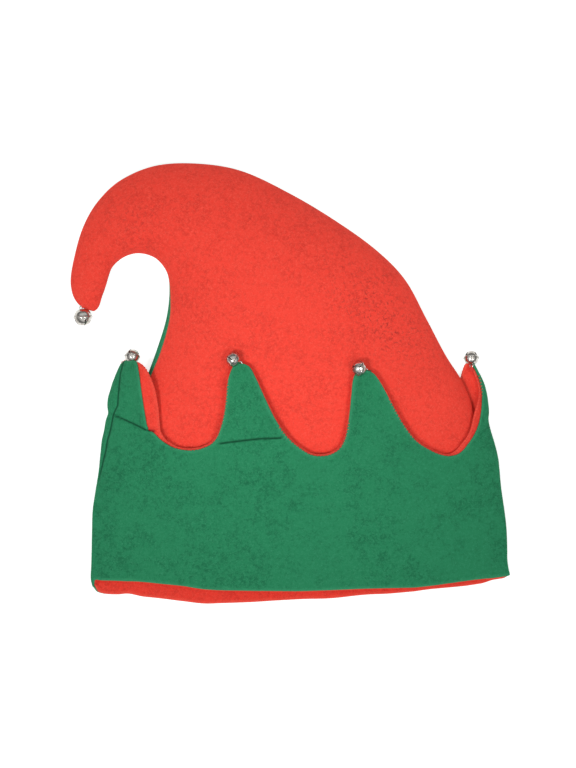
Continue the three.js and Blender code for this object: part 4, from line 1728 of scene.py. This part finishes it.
@dataclass(frozen=True)
class BellTie:
    """Loops of thread that tie a bell to its felt tip."""

    strands: int = 5
    radius: float = 0.24
    bite: float = 2.1
    seat_gap: float = 0.3
    start_share: float = 0.98
    end_share: float = 1.38
    sides: int = 7

    def build(self, seat: BellSeat, finish: bpy.types.Material, slot: Slot) -> bpy.types.Object:
        """Make the thread loops of one bell."""
        chance = np.random.default_rng(len(seat.name) * 7 + int(abs(seat.centre[0])))
        start = seat.radius * self.start_share
        end = seat.radius * self.end_share + self.seat_gap + self.bite
        parts = Parts()
        angles = np.linspace(0, TURN, 26, endpoint=False)
        for strand in range(self.strands):
            reach = (end - start) / 2 * chance.uniform(0.9, 1.06)
            lean = chance.uniform(-0.4, 0.4)
            width = chance.uniform(0.75, 1.0)
            off = (strand - (self.strands - 1) / 2) * self.radius * 1.7
            along = (start + end) / 2 + reach * np.cos(angles)
            lift = width * np.sin(angles)
            slide = off * (0.5 + 0.5 * np.cos(angles)) + lean * 0.2 * np.sin(angles)
            line = joined(slide + lift * lean, lift, along)
            parts.add(*tube(line, self.radius, self.sides, True))
        points = seat.turned(parts.all_points(), 0.0)
        return dress(mesh_object(f"{seat.name}_tie", points, parts.faces), finish)


@dataclass(frozen=True)
class Finishes:
    """The hat's materials."""

    red: bpy.types.Material
    green: bpy.types.Material
    lining: bpy.types.Material
    nickel: bpy.types.Material
    green_thread: bpy.types.Material
    red_thread: bpy.types.Material


@dataclass(frozen=True)
class BellPlan:
    """One bell of the hat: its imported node, radius and turn about its own axis."""

    node: str
    radius: float
    spin: float


BELL_PLANS = (
    BellPlan("bell_left", 5.5, 30.0),
    BellPlan("bell_front_left", 5.5, 8.0),
    BellPlan("bell_front_right", 5.5, -22.0),
    BellPlan("bell_right", 5.5, 45.0),
    BellPlan("bell_back_left", 5.5, 10.0),
    BellPlan("bell_back_right", 5.5, 60.0),
    BellPlan("bell_crown", 6.7, 20.0),
)


# Studio


@dataclass(frozen=True)
class Studio:
    """A pale table, soft light and a camera straight above."""

    frame_height: float = 0.5552
    frame_centre: tuple[float, float] = (-0.0012, -0.0005)
    camera_height: float = 5.0
    sensor: float = 36.0
    table_size: float = 4.0
    table_drop: float = 0.0004
    pool_angle: float = 15.0
    pool_centre: tuple[float, float, float] = (-0.014, 0.0, 0.02)
    table_glow: float = 0.72
    sky_strength: float = 0.8

    def build(self) -> None:
        """Set up the table, the lights, the surroundings and the camera."""
        self.build_table()
        self.build_lights()
        self.build_surroundings()
        self.build_camera()
        bpy.context.scene.view_settings.view_transform = "Standard"

    def build_table(self) -> None:
        """Lay the pale table."""
        half = self.table_size / 2
        corners = [(-half, -half), (half, -half), (half, half), (-half, half)]
        mesh = bpy.data.meshes.new("table")
        mesh.from_pydata([(x, y, -self.table_drop) for x, y in corners], [], [(0, 1, 2, 3)])
        table = place_object("table", mesh)
        graph = Graph("table_white")
        constants = {
            "Base Color": (0.6, 0.6, 0.6, 1.0),
            "Roughness": 0.9,
            "Specular IOR Level": 0.1,
            "Emission Color": (1.0, 1.0, 1.0, 1.0),
            "Emission Strength": self.table_glow,
        }
        mesh.materials.append(graph.finish(constants, {}))

    def add_pool(self, name: str, place: Sequence[float], radius: float, power: float) -> None:
        """Hang a soft light whose pool fades away from the hat's middle."""
        light = bpy.data.lights.new(name, "SPOT")
        light.shadow_soft_size = radius
        light.spot_size = math.radians(self.pool_angle)
        light.spot_blend = 1.0
        light.energy = power
        lamp = place_object(name, light)
        lamp.location = place
        aim = Vector(self.pool_centre) - Vector(place)
        lamp.rotation_euler = aim.to_track_quat("-Z", "Y").to_euler()

    def build_lights(self) -> None:
        """Hang the main light at the lower left and a weaker one at the lower right."""
        self.add_pool("main_light", (-0.75, -0.6, 2.0), 0.24, 112.0)
        self.add_pool("fill_light", (0.85, -0.35, 2.0), 0.26, 68.0)

    def build_surroundings(self) -> None:
        """Make white surroundings that darken towards the horizon."""
        world = bpy.data.worlds.new("white_room")
        bpy.context.scene.world = world
        world.use_nodes = True
        world.node_tree.nodes.clear()
        tree = Tree(world.node_tree)
        place = tree.node("ShaderNodeTexCoord", {}, {}, "Generated")
        height = tree.node("ShaderNodeSeparateXYZ", {}, {0: place}, "Z")
        stops = [(0.0, (0.12,) * 3), (0.49, (0.36,) * 3), (0.6, (0.85, 0.85, 0.86)), (1.0, (1.0,) * 3)]
        sky = tree.node("ShaderNodeValToRGB", {"stops": stops}, {"Fac": height}, "Color")
        back = tree.node("ShaderNodeBackground", {}, {"Color": sky, "Strength": self.sky_strength})
        tree.end("ShaderNodeOutputWorld", "Surface", back)

    def build_camera(self) -> None:
        """Set the camera straight above the hat."""
        camera = bpy.data.cameras.new("camera")
        camera.sensor_width = self.sensor
        camera.lens = self.sensor * self.camera_height / self.frame_height
        camera.clip_end = 100.0
        holder = place_object("camera", camera)
        holder.location = (*self.frame_centre, self.camera_height)
        bpy.context.scene.camera = holder


@dataclass(frozen=True)
class Cut:
    """How a felt piece is cut: its node, its flat size and area in metres, and what it lies on."""

    node: str
    flat: tuple[float, float]
    area: float
    rests_on: str


CUTS = {
    "crown_front_felt": Cut("crown_front", (0.3, 0.31), 0.069, "table"),
    "crown_back_felt": Cut("crown_back", (0.3, 0.31), 0.069, "table"),
    "cuff_front_felt": Cut("cuff_front", (0.31, 0.165), 0.037, "lining_front_felt"),
    "cuff_back_felt": Cut("cuff_back", (0.32, 0.175), 0.0415, "table"),
    "lining_front_felt": Cut("lining_front", (0.31, 0.165), 0.0375, "crown_front_felt"),
    "lining_back_felt": Cut("lining_back", (0.32, 0.175), 0.041, "cuff_back_felt"),
}


def main() -> None:
    """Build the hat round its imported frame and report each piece."""
    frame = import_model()
    Studio().build()
    finishes = Finishes(
        RED_FELT.material(), GREEN_FELT.material(), LINING_FELT.material(), NICKEL.material(),
        GREEN_THREAD.material(), RED_THREAD.material(),
    )
    seats = [
        BellSeat.of_node(plan.node, frame["nodes"][plan.node], plan.radius) for plan in BELL_PLANS
    ]
    shape = HatShape()
    under = [seat for seat in seats if seat.name.startswith("bell_back")]
    tents = BellTents(tuple((float(seat.centre[0]), float(seat.centre[1])) for seat in under))
    cuff = Cuff(shape)
    pieces = Crown(shape, tents).build(finishes) + cuff.build(finishes)
    rows = cuff.sew(finishes)
    for row in rows.values():
        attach(row, BODY)
    for piece in pieces:
        cut = CUTS[piece.name]
        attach(piece, BODY)
        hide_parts(cut.node)
        log.info("%s made, %d faces", piece.name, len(piece.data.polygons))
    for plan, seat in zip(BELL_PLANS, seats):
        bell = Bell().build(seat, plan.spin, finishes)
        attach(bell, BODY)
        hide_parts(plan.node)
        on_red = plan.node in ("bell_crown", "bell_right")
        thread = finishes.red_thread if on_red else finishes.green_thread
        tie = BellTie().build(seat, thread, Slot.RED if on_red else Slot.GREEN)
        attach(tie, BODY)
        ball = frame["nodes"][f"{plan.node}_ball"]
        ball.data.materials.clear()
        ball.data.materials.append(finishes.nickel)
        log.info("%s made and tied", plan.node)


if __name__ == "__main__":
    logging.basicConfig(level=logging.INFO, format="%(message)s")
    main()
